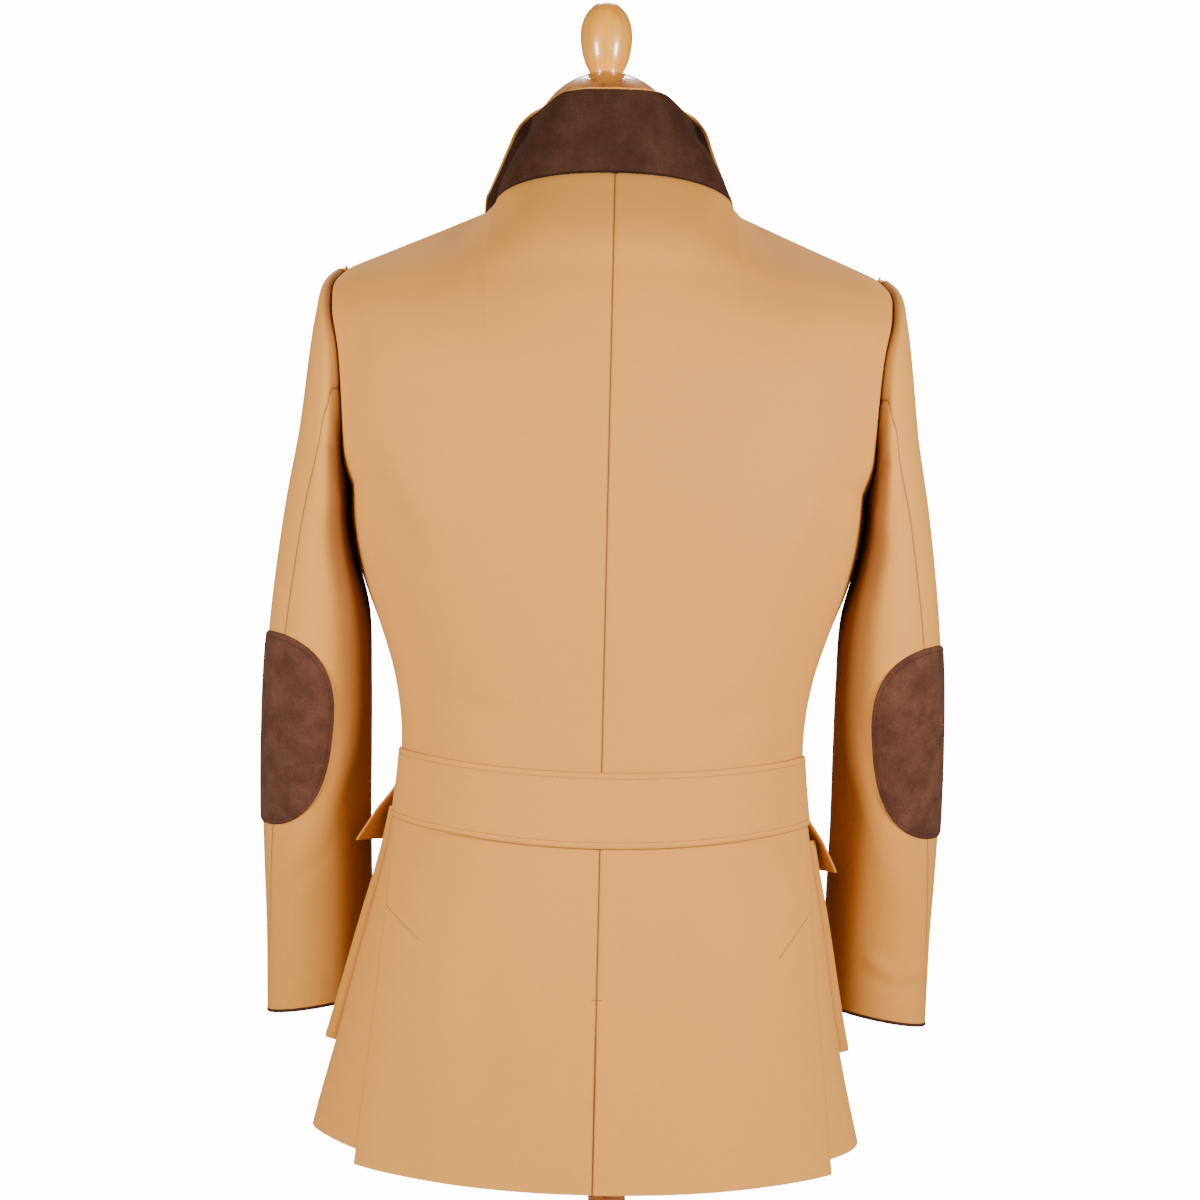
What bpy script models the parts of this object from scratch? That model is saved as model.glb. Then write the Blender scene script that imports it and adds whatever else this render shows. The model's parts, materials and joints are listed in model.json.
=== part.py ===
"""A tan cotton field jacket with a suede collar, standing on a limbless dress form.

The origin is the centre of the stand's underside, +Z is up and the jacket's front faces -Y, so the
wearer's left is +X. All sizes are in metres.
"""
import math
from collections import namedtuple

import bmesh
import bpy
import numpy as np

# Cloth walls and the gaps between sewn pieces
CLOTH = 0.0018
SUEDE = 0.0013
SEAM_GAP = 0.0003
LAY_GAP = 0.0007

# The jacket leans a little on its upright form, about this point
LEAN_DEGREES = -1.29
LEAN_PIVOT = (0.0024, 0.0, 0.602)

# Heights on the side of the body
HEM_SIDE = 0.226
UNDERARM = 0.765
SHOULDER_TIP = 0.951
YOKE_START = 0.850
YOKE_SOFTNESS = 0.9
YOKE_REACH = 0.4
YOKE_STEPS = 17
BODICE_FOOT = 0.505
WAIST_ROWS = (0.522, 0.540, 0.585)
SKIRT_ROWS = (0.262, 0.350, 0.432, 0.483)

# Neck and shoulder points
NECK_POINT = (0.102, 0.000, 1.0045)
SHOULDER_POINT = (0.228, -0.008, SHOULDER_TIP)
NECK_ROUNDNESS = 2.2
NECK_COLUMN = 5
SIDE_FULLNESS = 2.3
UNDERARM_FULLNESS = 0.6
FULLNESS_LEVEL = 0.775
FULLNESS_RUN = 0.055

# Horizontal sections of the body below the underarm: height at the side, half width,
# depth and height at the centre back, depth and height at the centre front
LowerSection = namedtuple("LowerSection", "level half_width back_y back_z front_y front_z")
LOWER_SECTIONS = (
    LowerSection(HEM_SIDE, 0.2300, 0.1500, 0.200, -0.1500, 0.213),
    LowerSection(0.300, 0.2125, 0.1425, 0.282, -0.1435, 0.291),
    LowerSection(0.400, 0.1925, 0.1290, 0.391, -0.1345, 0.395),
    LowerSection(0.460, 0.1800, 0.1175, 0.4555, -0.1295, 0.458),
    LowerSection(0.505, 0.1735, 0.1095, 0.5045, -0.1270, 0.505),
    LowerSection(0.559, 0.1705, 0.1050, 0.559, -0.1270, 0.559),
    LowerSection(0.610, 0.1780, 0.1080, 0.610, -0.1310, 0.610),
    LowerSection(0.648, 0.1900, 0.1125, 0.648, -0.1350, 0.648),
    LowerSection(0.686, 0.2045, 0.1170, 0.686, -0.1390, 0.686),
    LowerSection(0.716, 0.2125, 0.1200, 0.716, -0.1410, 0.716),
    LowerSection(0.740, 0.2160, 0.1220, 0.740, -0.1425, 0.740),
    LowerSection(UNDERARM, 0.2170, 0.1240, 0.765, -0.1430, 0.765),
)

# Sections above the underarm end on the armhole: height, reach and depth of the armhole edge,
# height and depth at the centre line, and the half width that the rounded section would have
UpperSection = namedtuple("UpperSection", "level mid_z mid_y edge_x edge_y wide")
BACK_UPPER = (
    UpperSection(0.781, 0.790, 0.1255, 0.2205, 0.046, 0.2260),
    UpperSection(0.825, 0.835, 0.1270, 0.2220, 0.064, 0.2350),
    UpperSection(0.878, 0.885, 0.1255, 0.2270, 0.061, 0.2450),
    UpperSection(0.916, 0.940, 0.1150, 0.2350, 0.041, 0.2550),
    UpperSection(0.939, 0.985, 0.0965, 0.2345, 0.018, 0.2620),
    UpperSection(SHOULDER_TIP, 1.028, 0.0600, 0.2280, -0.008, 0.2650),
)
FRONT_UPPER = (
    UpperSection(0.781, 0.790, -0.1435, 0.2175, -0.047, 0.2230),
    UpperSection(0.825, 0.830, -0.1425, 0.2105, -0.062, 0.2280),
    UpperSection(0.872, 0.865, -0.1380, 0.2090, -0.064, 0.2320),
    UpperSection(0.912, 0.895, -0.1260, 0.2135, -0.054, 0.2400),
    UpperSection(0.940, 0.915, -0.1130, 0.2220, -0.034, 0.2500),
    UpperSection(SHOULDER_TIP, 0.930, -0.1000, 0.2280, -0.008, 0.2600),
)
EDGE_PULL = 5.0

# Sleeve sections from armhole to cuff: the outermost and innermost points, the middle's place
# front to back, half the depth, and how far the back seam has turned towards the outside
SleeveSection = namedtuple("SleeveSection", "outer_x outer_z inner_x inner_z mid_y half_depth seam_turn")
SLEEVE_SECTIONS = (
    SleeveSection(0.2284, 0.951, 0.2176, 0.7650, 0.000, 0.0640, 0),
    SleeveSection(0.2410, 0.945, 0.2179, 0.7600, 0.001, 0.0700, -2),
    SleeveSection(0.2480, 0.920, 0.2177, 0.7520, 0.001, 0.0735, -5),
    SleeveSection(0.2545, 0.878, 0.2170, 0.7380, 0.000, 0.0755, -11),
    SleeveSection(0.2620, 0.817, 0.2152, 0.7220, -0.002, 0.0760, -20),
    SleeveSection(0.2730, 0.752, 0.2104, 0.7000, -0.004, 0.0745, -34),
    SleeveSection(0.2825, 0.680, 0.2005, 0.6600, -0.008, 0.0715, -48),
    SleeveSection(0.2885, 0.615, 0.1985, 0.6050, -0.016, 0.0680, -54),
    SleeveSection(0.2915, 0.550, 0.1985, 0.5480, -0.031, 0.0645, -58),
    SleeveSection(0.2940, 0.490, 0.2000, 0.4920, -0.058, 0.0610, -63),
    SleeveSection(0.2940, 0.438, 0.2000, 0.4410, -0.077, 0.0585, -72),
    SleeveSection(0.2930, 0.380, 0.2000, 0.3890, -0.095, 0.0555, -82),
    SleeveSection(0.2930, 0.305, 0.2010, 0.3220, -0.113, 0.0520, -93),
)
SLEEVE_AROUND = 20
BACK_SEAM_COLUMN = 4
FRONT_SEAM_COLUMN = 16
ARMHOLE_BLEND = (1.0, 0.55, 0.25, 0.08)

# Half belt across the back waist
BELT_FOOT_MID = 0.475
BELT_HEIGHT = 0.0585
BELT_SIDE_RISE = 0.013
BELT_THICK = 0.0022
BELT_REACH = 0.992

# Back skirt: place of the pleat edge as a share of the half width, by height
PLEAT_HEIGHTS = (0.200, 0.250, 0.350, 0.420, 0.447, 0.475)
PLEAT_SHARES = (0.828, 0.846, 0.885, 0.918, 0.945, 0.995)
PLEAT_STAND = 0.0048
PLEAT_STAND_RUN = 0.28
PLEAT_UNDERLAP = 0.075
VENT_TOP = 0.36
VENT_OPEN = 0.0010
SKIRT_SWAY = 0.009
SWAY_REACH = 0.20
SWAY_DEPTH = 0.08
SKIRT_LEVELS = (HEM_SIDE, 0.26, 0.30, 0.345, 0.39, 0.43, 0.450, 0.475, BODICE_FOOT - 0.0008)
SKIRT_TOP_SHARE = 0.995
UNDER_LEVELS = (HEM_SIDE, 0.26, 0.30, 0.345, 0.39, 0.42, 0.444, 0.458, 0.475, BODICE_FOOT - 0.0008)
UNDER_LAP_END = 0.450
UNDER_SIDE_GAP = 0.036
UNDER_HEM_RISE = 0.004
SKIRT_HEM_DROP = 0.009
HEM_DROP_RUN = 0.06
PLEAT_FADE = 0.04

# Fronts: overlap at the centre and the pockets, as shares of the way from centre to side
FRONT_OVERLAP = 0.020
FRONT_LIFT = 0.0022
FRONT_LIFT_END = 0.066
FRONT_LIFT_RUN = 0.026
POCKET_SHARES = (0.50, 0.992)
POCKET_LEVELS = {1.0: (0.290, 0.492), -1.0: (0.288, 0.470)}
POCKET_BULGE = 0.0070
POCKET_SIDE_BULGE = 0.0090
FLAP_SHARES = (0.47, 0.996)
FLAP_LEVELS = {1.0: (0.458, 0.516), -1.0: (0.440, 0.494)}
FLAP_THICK = 0.0030
FLAP_FLARE = {1.0: 0.0250, -1.0: 0.0170}

# Collar from the centre back to its front end: share along it, edge point, inward depth of its roll
CollarEdge = namedtuple("CollarEdge", "along x y z roll")
COLLAR_EDGES = (
    CollarEdge(0.00, 0.0000, 0.066, 1.0956, 0.000),
    CollarEdge(0.15, 0.0330, 0.061, 1.0950, 0.000),
    CollarEdge(0.24, 0.0470, 0.050, 1.0925, 0.001),
    CollarEdge(0.30, 0.0615, 0.038, 1.0815, 0.005),
    CollarEdge(0.37, 0.0764, 0.021, 1.0677, 0.013),
    CollarEdge(0.45, 0.0848, 0.002, 1.0543, 0.018),
    CollarEdge(0.55, 0.0941, -0.022, 1.0387, 0.021),
    CollarEdge(0.66, 0.1029, -0.048, 1.0250, 0.022),
    CollarEdge(0.78, 0.1085, -0.076, 1.0150, 0.017),
    CollarEdge(0.90, 0.1080, -0.106, 0.9900, 0.008),
    CollarEdge(1.00, 0.0820, -0.128, 0.9700, 0.004),
)
# Section of a rolled collar: share of the way up, share of its inward depth, share of its rise
CollarRoll = namedtuple("CollarRoll", "up inward rise")
COLLAR_ROLL = (
    CollarRoll(0.00, 0.00, 0.00),
    CollarRoll(0.25, 0.14, 0.36),
    CollarRoll(0.50, 0.60, 0.72),
    CollarRoll(0.72, 1.00, 0.95),
    CollarRoll(0.87, 0.68, 1.02),
    CollarRoll(1.00, 0.00, 1.00),
)
COLLAR_FULL_ROLL = 0.012
COLLAR_SWAY = 0.0045
COLLAR_SWAY_SHARE = 0.5
COLLAR_COLUMNS = 20
COLLAR_NECK_SHARE = 0.42
COLLAR_END_TURN = 54.0
COLLAR_LIFT = 0.0006
COLLAR_NECK_LIFT = 0.0010
COLLAR_NECK_RUN = 0.12
COLLAR_LAYER_GAP = 0.0013
COLLAR_TAN_RISE = 0.0018
COLLAR_FOOT_TRIM = 0.0020

# Elbow patch: centre and half sizes, in degrees round the sleeve and in sleeve sections
PATCH_CENTRE = (38.0, 7.93)
PATCH_HALF = (75.0, 1.36)
PATCH_RINGS = 6
PATCH_SECTORS = 24
PATCH_GAP = 0.0018
PATCH_TAPER = 0.14
PATCH_ROUNDNESS = 2.6

CUFF_BINDING = 0.0028
CUFF_STAND = 0.0003
BUTTON_RADIUS = 0.0110
BUTTON_THICK = 0.0042
BUTTON_LEVELS = (0.570, 0.660, 0.750, 0.840)

# Dress form and stand
FORM_FOOT = 0.300
FORM_LEVELS = (FORM_FOOT, 0.38, 0.45, 0.505, 0.559, 0.61, 0.66, 0.71)
FORM_CLOSE = 0.90
FORM_EASE = 0.0090
FORM_YOKE_EASE = 0.0040
FORM_SHOULDER_EASE = 0.0010
FORM_NECK_EASE = 0.0070
FORM_SIDE_EASE = (0.0, 0.002, 0.004)
FORM_SIDE_INSET = 0.001
NECK_RINGS = ((0.62, 1.026), (0.90, 1.050))
NECK_RADIUS = 0.0560
NECK_CENTRE_Y = -0.002
NECK_TOP = 1.070
CAP_TOP = 1.1200
CAP_FLAT = 0.0160
CAP_DOME_RADIUS = 0.063
FINIAL_TOP = 1.1825
FINIAL_RADIUS = 0.0222
FINIAL_NECK = 0.0129
FINIAL_WAIST_SHARE = 0.53
POLE_RADIUS = 0.016
BASE_RADIUS = 0.150
BASE_HEIGHT = 0.028
TURNED_SIDES = 24


def smooth(share):
    """Ease a share from 0 to 1 with level ends."""
    share = np.clip(share, 0.0, 1.0)
    return share * share * (3.0 - 2.0 * share)


def unit(vectors):
    """Scale vectors to length one."""
    return vectors / np.linalg.norm(vectors, axis=-1, keepdims=True)


def read_rows(keys, values, wanted):
    """Read a smooth curve through a table's rows at the wanted keys."""
    keys = np.asarray(keys, dtype=float)
    values = np.asarray(values, dtype=float)
    wanted = np.atleast_1d(np.asarray(wanted, dtype=float))
    slopes = np.gradient(values, keys, axis=0)
    i = np.clip(np.searchsorted(keys, wanted, side="right") - 1, 0, len(keys) - 2)
    span = (keys[i + 1] - keys[i])[:, None]
    t = (wanted - keys[i])[:, None] / span
    ease = t * t * (3.0 - 2.0 * t)
    leave = t * (1.0 - t) ** 2
    arrive = t * t * (t - 1.0)
    return (values[i] * (1.0 - ease) + values[i + 1] * ease
            + span * (slopes[i] * leave + slopes[i + 1] * arrive))


def bow(level, reach):
    """Share of its depth that a rounded section still has at a share of its half width."""
    fullness = SIDE_FULLNESS + UNDERARM_FULLNESS * math.exp(-((level - FULLNESS_LEVEL) / FULLNESS_RUN) ** 2)
    return np.maximum(0.0, 1.0 - reach ** fullness) ** (1.0 / fullness)


def half_table(is_back):
    """Return keys and columns of a half: mid z, mid y, edge x, pull of the edge towards the armhole, wide."""
    keys = []
    rows = []
    for row in LOWER_SECTIONS:
        mid_y = row.back_y if is_back else row.front_y
        mid_z = row.back_z if is_back else row.front_z
        keys.append(row.level)
        rows.append((mid_z, mid_y, row.half_width, 0.0, row.half_width))
    for row in BACK_UPPER if is_back else FRONT_UPPER:
        keys.append(row.level)
        pull = row.edge_y - row.mid_y * bow(row.level, row.edge_x / row.wide)
        rows.append((row.mid_z, row.mid_y, row.edge_x, pull, row.wide))
    return np.array(keys), np.array(rows)


HALF_TABLES = {True: half_table(True), False: half_table(False)}


def seam_line(is_back, share):
    """Neckline, then shoulder seam, from the centre line (0) to the shoulder tip (1)."""
    middle = (BACK_UPPER if is_back else FRONT_UPPER)[-1]
    reach = np.abs(share)
    neck_share = NECK_POINT[0] / SHOULDER_POINT[0]
    drop = np.maximum(0.0, 1.0 - np.minimum(1.0, reach / neck_share) ** NECK_ROUNDNESS)
    drop = drop ** (1.0 / NECK_ROUNDNESS)
    slope = np.clip((reach - neck_share) / (1.0 - neck_share), 0.0, 1.0)
    y = NECK_POINT[1] + (middle.mid_y - NECK_POINT[1]) * drop
    y = y + (SHOULDER_POINT[1] - NECK_POINT[1]) * slope
    z = NECK_POINT[2] + (middle.mid_z - NECK_POINT[2]) * drop
    z = z + (SHOULDER_POINT[2] - NECK_POINT[2]) * slope
    return np.stack([share * SHOULDER_POINT[0], y, z], axis=-1)


def plain_row(is_back, level, share):
    """One rounded section of the body at shares from the centre line to the edge."""
    keys, rows = HALF_TABLES[is_back]
    mid_z, mid_y, edge_x, pull, wide = read_rows(keys, rows, level)[0]
    reach = np.abs(share)
    y = mid_y * bow(level, reach * min(edge_x / wide, 1.0)) + pull * reach ** EDGE_PULL
    z = mid_z + (level - mid_z) * reach ** 2
    return np.stack([edge_x * share, y, z], axis=-1)


def yoke_shift(is_back, share, soft):
    """How far the top section moves to reach the seam line, with its neck corner softened by a share."""
    shift = 0.0
    for step in np.linspace(-YOKE_REACH, YOKE_REACH, YOKE_STEPS):
        near = np.clip(np.abs(share) + soft * step, 0.0, 1.0)
        shift = shift + seam_line(is_back, near) - plain_row(is_back, SHOULDER_TIP, near)
    shift = shift / YOKE_STEPS
    shift[..., 0] = 0.0
    return shift * (1.0 - soft * np.abs(share)[..., None] ** EDGE_PULL)


def body_row(is_back, level, share):
    """One section of the body's outer surface, drawn up to the neckline and shoulder seam near the top."""
    share = np.asarray(share, dtype=float)
    points = plain_row(is_back, level, share)
    rise = max(0.0, (level - YOKE_START) / (SHOULDER_TIP - YOKE_START))
    if rise > 0.0:
        points = points + rise ** 2 * yoke_shift(is_back, share, YOKE_SOFTNESS * math.sqrt(max(0.0, 1.0 - rise)))
    return points


def body_grid(is_back, levels, shares):
    """Grid of body points, a row for each level; shares may be one list or one for each level."""
    shares = np.asarray(shares, dtype=float)
    if shares.ndim == 1:
        shares = np.tile(shares, (len(levels), 1))
    return np.array([body_row(is_back, level, row) for level, row in zip(levels, shares)])


def sway(points, side):
    """Swing the hanging skirt's sides a little towards +X, leaving the centre back in place."""
    moved = points.copy()
    drop = smooth((BODICE_FOOT - points[..., 2]) / (BODICE_FOOT - HEM_SIDE))
    flank = np.minimum(1.0, np.abs(points[..., 0]) / SWAY_REACH) ** 2
    flank = flank * smooth(1.0 - points[..., 1] / SWAY_DEPTH)
    moved[..., 0] += side * SKIRT_SWAY * drop * flank
    return moved


def grid_normals(grid, outside):
    """Unit normals of a grid, on the side where the outside vectors point."""
    normals = unit(np.cross(np.gradient(grid, axis=0), np.gradient(grid, axis=1)))
    return normals if np.sum(normals * outside) > 0.0 else -normals


def from_axis(grid):
    """Vectors that point away from the body's upright axis, with a little upward lift."""
    outward = grid * np.array([1.0, 1.0, 0.0])
    outward[..., 2] = 0.02
    return outward


def mirrored(points, side):
    """Turn points of the wearer's left (+1) into those of the right (-1)."""
    return points * np.array([side, 1.0, 1.0])


def closed_wall(outer, inner, wrap=False):
    """Vertices and faces of a closed wall between two grids; wrap joins the last column to the first."""
    rows, columns = outer.shape[:2]
    vertices = np.concatenate([outer.reshape(-1, 3), inner.reshape(-1, 3)])
    half = rows * columns
    faces = []
    steps = columns if wrap else columns - 1
    for r in range(rows - 1):
        for c in range(steps):
            low, low_next = r * columns + c, r * columns + (c + 1) % columns
            top, top_next = low + columns, low_next + columns
            for corners in ((low, low_next, top_next), (low, top_next, top)):
                faces.append(corners)
                faces.append(tuple(half + corner for corner in reversed(corners)))
    for c in range(steps):
        low, low_next = c, (c + 1) % columns
        faces.append((low, half + low, half + low_next, low_next))
        top, top_next = half - columns + c, half - columns + (c + 1) % columns
        faces.append((top, top_next, half + top_next, half + top))
    if not wrap:
        for r in range(rows - 1):
            low, top = r * columns, (r + 1) * columns
            faces.append((low, top, half + top, half + low))
            low, top = low + columns - 1, top + columns - 1
            faces.append((low, half + low, half + top, top))
    return vertices, faces


def material(name, color, roughness):
    """A plain Principled material."""
    made = bpy.data.materials.new(name)
    made.use_nodes = True
    shader = made.node_tree.nodes["Principled BSDF"]
    shader.inputs["Base Color"].default_value = (*color, 1.0)
    shader.inputs["Roughness"].default_value = roughness
    return made


def add_object(name, vertices, faces, finish, parent=None):
    """Make one closed, smooth-shaded object that faces outwards."""
    mesh = bpy.data.meshes.new(name)
    mesh.from_pydata([tuple(map(float, v)) for v in vertices], [], faces)
    work = bmesh.new()
    work.from_mesh(mesh)
    bmesh.ops.remove_doubles(work, verts=work.verts, dist=1e-6)
    bmesh.ops.recalc_face_normals(work, faces=work.faces)
    work.to_mesh(mesh)
    work.free()
    mesh.materials.append(finish)
    mesh.shade_smooth()
    mesh.set_sharp_from_angle(angle=math.radians(40))
    made = bpy.data.objects.new(name, mesh)
    bpy.context.scene.collection.objects.link(made)
    made.parent = parent
    return made


def add_wall(name, outer, normals, thick, finish, parent, wrap=False):
    """Make a cloth wall from its outer points, thickened inwards."""
    vertices, faces = closed_wall(outer, outer - normals * thick, wrap)
    return add_object(name, vertices, faces, finish, parent)


def side_name(name, side):
    """Name a piece for the wearer's left or right."""
    return f"{name}_left" if side > 0 else f"{name}_right"


def share_columns(count, first=0.0, last=1.0):
    """Shares from the centre to the side, closer together near the side where the body turns."""
    return np.sin(np.linspace(first, last, count) * math.pi / 2.0)


def neck_and_shoulder_columns(first=0.0):
    """Shares with one column exactly on the neck point."""
    neck_share = NECK_POINT[0] / SHOULDER_POINT[0]
    near = neck_share * np.sin(np.linspace(math.asin(first / neck_share), math.pi / 2.0, NECK_COLUMN + 1))
    far = share_columns(7, math.asin(neck_share) * 2.0 / math.pi, 1.0)
    return np.concatenate([near, far[1:]])


def armhole_levels():
    """Heights of the rows that end on the armhole, evenly spaced round it."""
    turn = np.linspace(math.pi, 0.0, SLEEVE_AROUND // 2 + 1)
    return UNDERARM + (SHOULDER_TIP - UNDERARM) * (1.0 + np.cos(turn)) / 2.0


def bodice_levels(foot):
    """Heights of all rows from a foot height to the shoulder."""
    lower = [row.level for row in LOWER_SECTIONS if foot + 0.01 < row.level < UNDERARM - 0.01]
    lower = sorted(lower + [row for row in SKIRT_ROWS + WAIST_ROWS if row > foot])
    return np.concatenate([[foot], lower, armhole_levels()])


def shoulder_normal():
    """Shared direction of the wall's edge along the shoulder seam."""
    run = np.array(SHOULDER_POINT) - np.array(NECK_POINT)
    return unit(np.array([-run[2], 0.0, run[0]]))


def sleeve_sheet(sections, degrees):
    """Points of the plain sleeve tube at section numbers and degrees round it (0 is outermost)."""
    columns = np.array(SLEEVE_SECTIONS)
    outer_x, outer_z, inner_x, inner_z, mid_y, half_depth, _ = read_rows(
        np.arange(len(columns)), columns, np.ravel(sections)).T
    turn = np.radians(np.ravel(degrees))
    out = (1.0 + np.cos(turn)) / 2.0
    points = np.stack([inner_x + (outer_x - inner_x) * out,
                       mid_y + half_depth * np.sin(turn),
                       inner_z + (outer_z - inner_z) * out], axis=-1)
    return points.reshape(np.shape(sections) + (3,))


def sleeve_grid(back_edge, front_edge):
    """Rings of the sleeve from the armhole loop to the cuff, and their normals."""
    loop = np.concatenate([back_edge, front_edge[-2:0:-1]])
    loop = loop + np.array([SEAM_GAP * 1.3, 0.0, 0.0])
    sections = np.arange(len(SLEEVE_SECTIONS), dtype=float)
    degrees = 180.0 - 360.0 / SLEEVE_AROUND * np.arange(SLEEVE_AROUND)
    turn = np.array([row.seam_turn for row in SLEEVE_SECTIONS])
    grid = sleeve_sheet(np.repeat(sections[:, None], SLEEVE_AROUND, axis=1), degrees[None, :] + turn[:, None])
    shift = loop - grid[0]
    for ring, share in enumerate(ARMHOLE_BLEND):
        grid[ring] += shift * share
    round_step = np.roll(grid, -1, axis=1) - np.roll(grid, 1, axis=1)
    normals = unit(np.cross(round_step, np.gradient(grid, axis=0)))
    middle = grid.mean(axis=1, keepdims=True)
    if np.sum(normals[6] * (grid[6] - middle[6])) < 0.0:
        normals = -normals
    return grid, normals


def shared_edge(body_normals, sleeve_normals):
    """Wall directions on the armhole: the mean of both, or each its own where they fold together."""
    facing = np.sum(body_normals * sleeve_normals, axis=-1, keepdims=True)
    share = smooth((facing + 0.6) / 0.6)
    mean = unit(body_normals + sleeve_normals + 1e-6)
    return unit(body_normals * (1 - share) + mean * share), unit(sleeve_normals * (1 - share) + mean * share)


def draw_in(grid, row_or_column, step):
    """Move one edge column a hair towards its neighbour, to leave room for the seam."""
    edge, near = grid[:, row_or_column], grid[:, row_or_column + step]
    grid[:, row_or_column] = edge + unit(near - edge) * SEAM_GAP / 2.0


def half_panel(is_back, foot, first_share=0.0):
    """Grid and normals of a back or front half from a foot height to the shoulder."""
    levels = bodice_levels(foot)
    grid = body_grid(is_back, levels, neck_and_shoulder_columns(first_share))
    normals = grid_normals(grid, from_axis(grid))
    below = levels <= UNDERARM + 1e-9
    normals[below, -1, 1] = 0.0
    normals[-1, NECK_COLUMN:] = shoulder_normal()
    if is_back:
        normals[:, 0, 0] = 0.0
    normals = unit(normals)
    step = SEAM_GAP / 2.0 if is_back else -SEAM_GAP / 2.0
    grid[below, -1, 1] += step
    grid[-1, NECK_COLUMN:, 1] += step
    return grid, normals


def build_body(side, cotton, lean):
    """Upper back, front and two-piece sleeve of one side."""
    back, back_normals = half_panel(True, BODICE_FOOT)
    front, front_normals = half_panel(False, HEM_SIDE, -FRONT_OVERLAP / SHOULDER_POINT[0])
    back[:, 0, 0] = SEAM_GAP / 2.0
    rows = SLEEVE_AROUND // 2 + 1
    sleeve, sleeve_normals = sleeve_grid(back[-rows:, -1], front[-rows:, -1])
    loop_normals = np.concatenate([back_normals[-rows:, -1], front_normals[-2:-rows:-1, -1]])
    body_edge, sleeve_normals[0] = shared_edge(loop_normals, sleeve_normals[0])
    back_normals[-rows:, -1] = body_edge[:rows]
    front_normals[-rows + 1:, -1] = body_edge[:rows - 2:-1]
    front_normals[-rows, -1] = body_edge[0]
    if side > 0:
        lift = smooth((FRONT_LIFT_END - front[..., 0]) / FRONT_LIFT_RUN) * FRONT_LIFT
        front = front + front_normals * lift[..., None]
    front = sway(front, side)
    for name, grid, normals in (("back", back, back_normals), ("front", front, front_normals)):
        add_wall(side_name(name, side), mirrored(grid, side), mirrored(normals, side), CLOTH, cotton, lean)
    top = list(range(BACK_SEAM_COLUMN, FRONT_SEAM_COLUMN + 1))
    under = list(range(FRONT_SEAM_COLUMN, SLEEVE_AROUND)) + list(range(BACK_SEAM_COLUMN + 1))
    for name, columns in (("sleeve_top", top), ("sleeve_under", under)):
        grid = sleeve[:, columns].copy()
        draw_in(grid, 0, 1)
        draw_in(grid, -1, -1)
        add_wall(side_name(name, side), mirrored(grid, side), mirrored(sleeve_normals[:, columns], side),
                 CLOTH, cotton, lean)
    return sleeve, sleeve_normals


def build_cuff_binding(side, sleeve, sleeve_normals, suede, lean):
    """Narrow suede edge that finishes the cuff."""
    fall = unit(sleeve[-1] - sleeve[-2])
    outer = sleeve[-1] + sleeve_normals[-1] * CUFF_STAND
    rings = np.array([outer + fall * SEAM_GAP, outer + fall * (SEAM_GAP + CUFF_BINDING)])
    normals = np.array([sleeve_normals[-1]] * 2)
    add_wall(side_name("cuff_binding", side), mirrored(rings, side), mirrored(normals, side),
             CLOTH + 2.0 * CUFF_STAND, suede, lean, wrap=True)


def squared(wave, roundness):
    """Sine or cosine that draws a round outline nearer to a square; 2 leaves it round."""
    return np.sign(wave) * np.abs(wave) ** (2.0 / roundness)


def build_elbow_patch(side, suede, lean):
    """Rounded patch that wraps round the back of the elbow, made from the sleeve's own points."""
    angle = np.linspace(0.0, 2.0 * math.pi, PATCH_SECTORS, endpoint=False)
    reach = np.linspace(0.0, 1.0, PATCH_RINGS + 1)[1:, None]
    step = 0.02

    def sheet(u, v):
        """Sleeve points under patch coordinates that run from -1 to 1; the upper end is broader."""
        broad = 1.0 - PATCH_TAPER * v
        return sleeve_sheet(PATCH_CENTRE[1] + PATCH_HALF[1] * v, PATCH_CENTRE[0] + PATCH_HALF[0] * u * broad)

    u = np.concatenate([[0.0], (reach * squared(np.cos(angle), PATCH_ROUNDNESS)).ravel()])
    v = np.concatenate([[0.0], (reach * squared(np.sin(angle), PATCH_ROUNDNESS)).ravel()])
    points = sheet(u, v)
    normals = unit(np.cross(sheet(u + step, v) - points, sheet(u, v + step) - points))
    if normals[0, 1] < 0.0:
        normals = -normals
    count = len(points)
    outer = points + normals * (PATCH_GAP + SUEDE)
    inner = points + normals * PATCH_GAP
    faces = []
    for c in range(PATCH_SECTORS):
        after = (c + 1) % PATCH_SECTORS
        faces.append((0, 1 + c, 1 + after))
        faces.append((count, count + 1 + after, count + 1 + c))
        for r in range(PATCH_RINGS - 1):
            near, far = 1 + r * PATCH_SECTORS, 1 + (r + 1) * PATCH_SECTORS
            faces.append((near + c, far + c, far + after, near + after))
            faces.append((count + near + after, count + far + after, count + far + c, count + near + c))
        edge = 1 + (PATCH_RINGS - 1) * PATCH_SECTORS
        faces.append((edge + c, count + edge + c, count + edge + after, edge + after))
    vertices = mirrored(np.concatenate([outer, inner]), side)
    add_object(side_name("elbow_patch", side), vertices, faces, suede, lean)


def pleat_share(heights):
    """Share of the half width at which the pleat edge lies, by height."""
    return np.interp(heights, PLEAT_HEIGHTS, PLEAT_SHARES)


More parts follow.
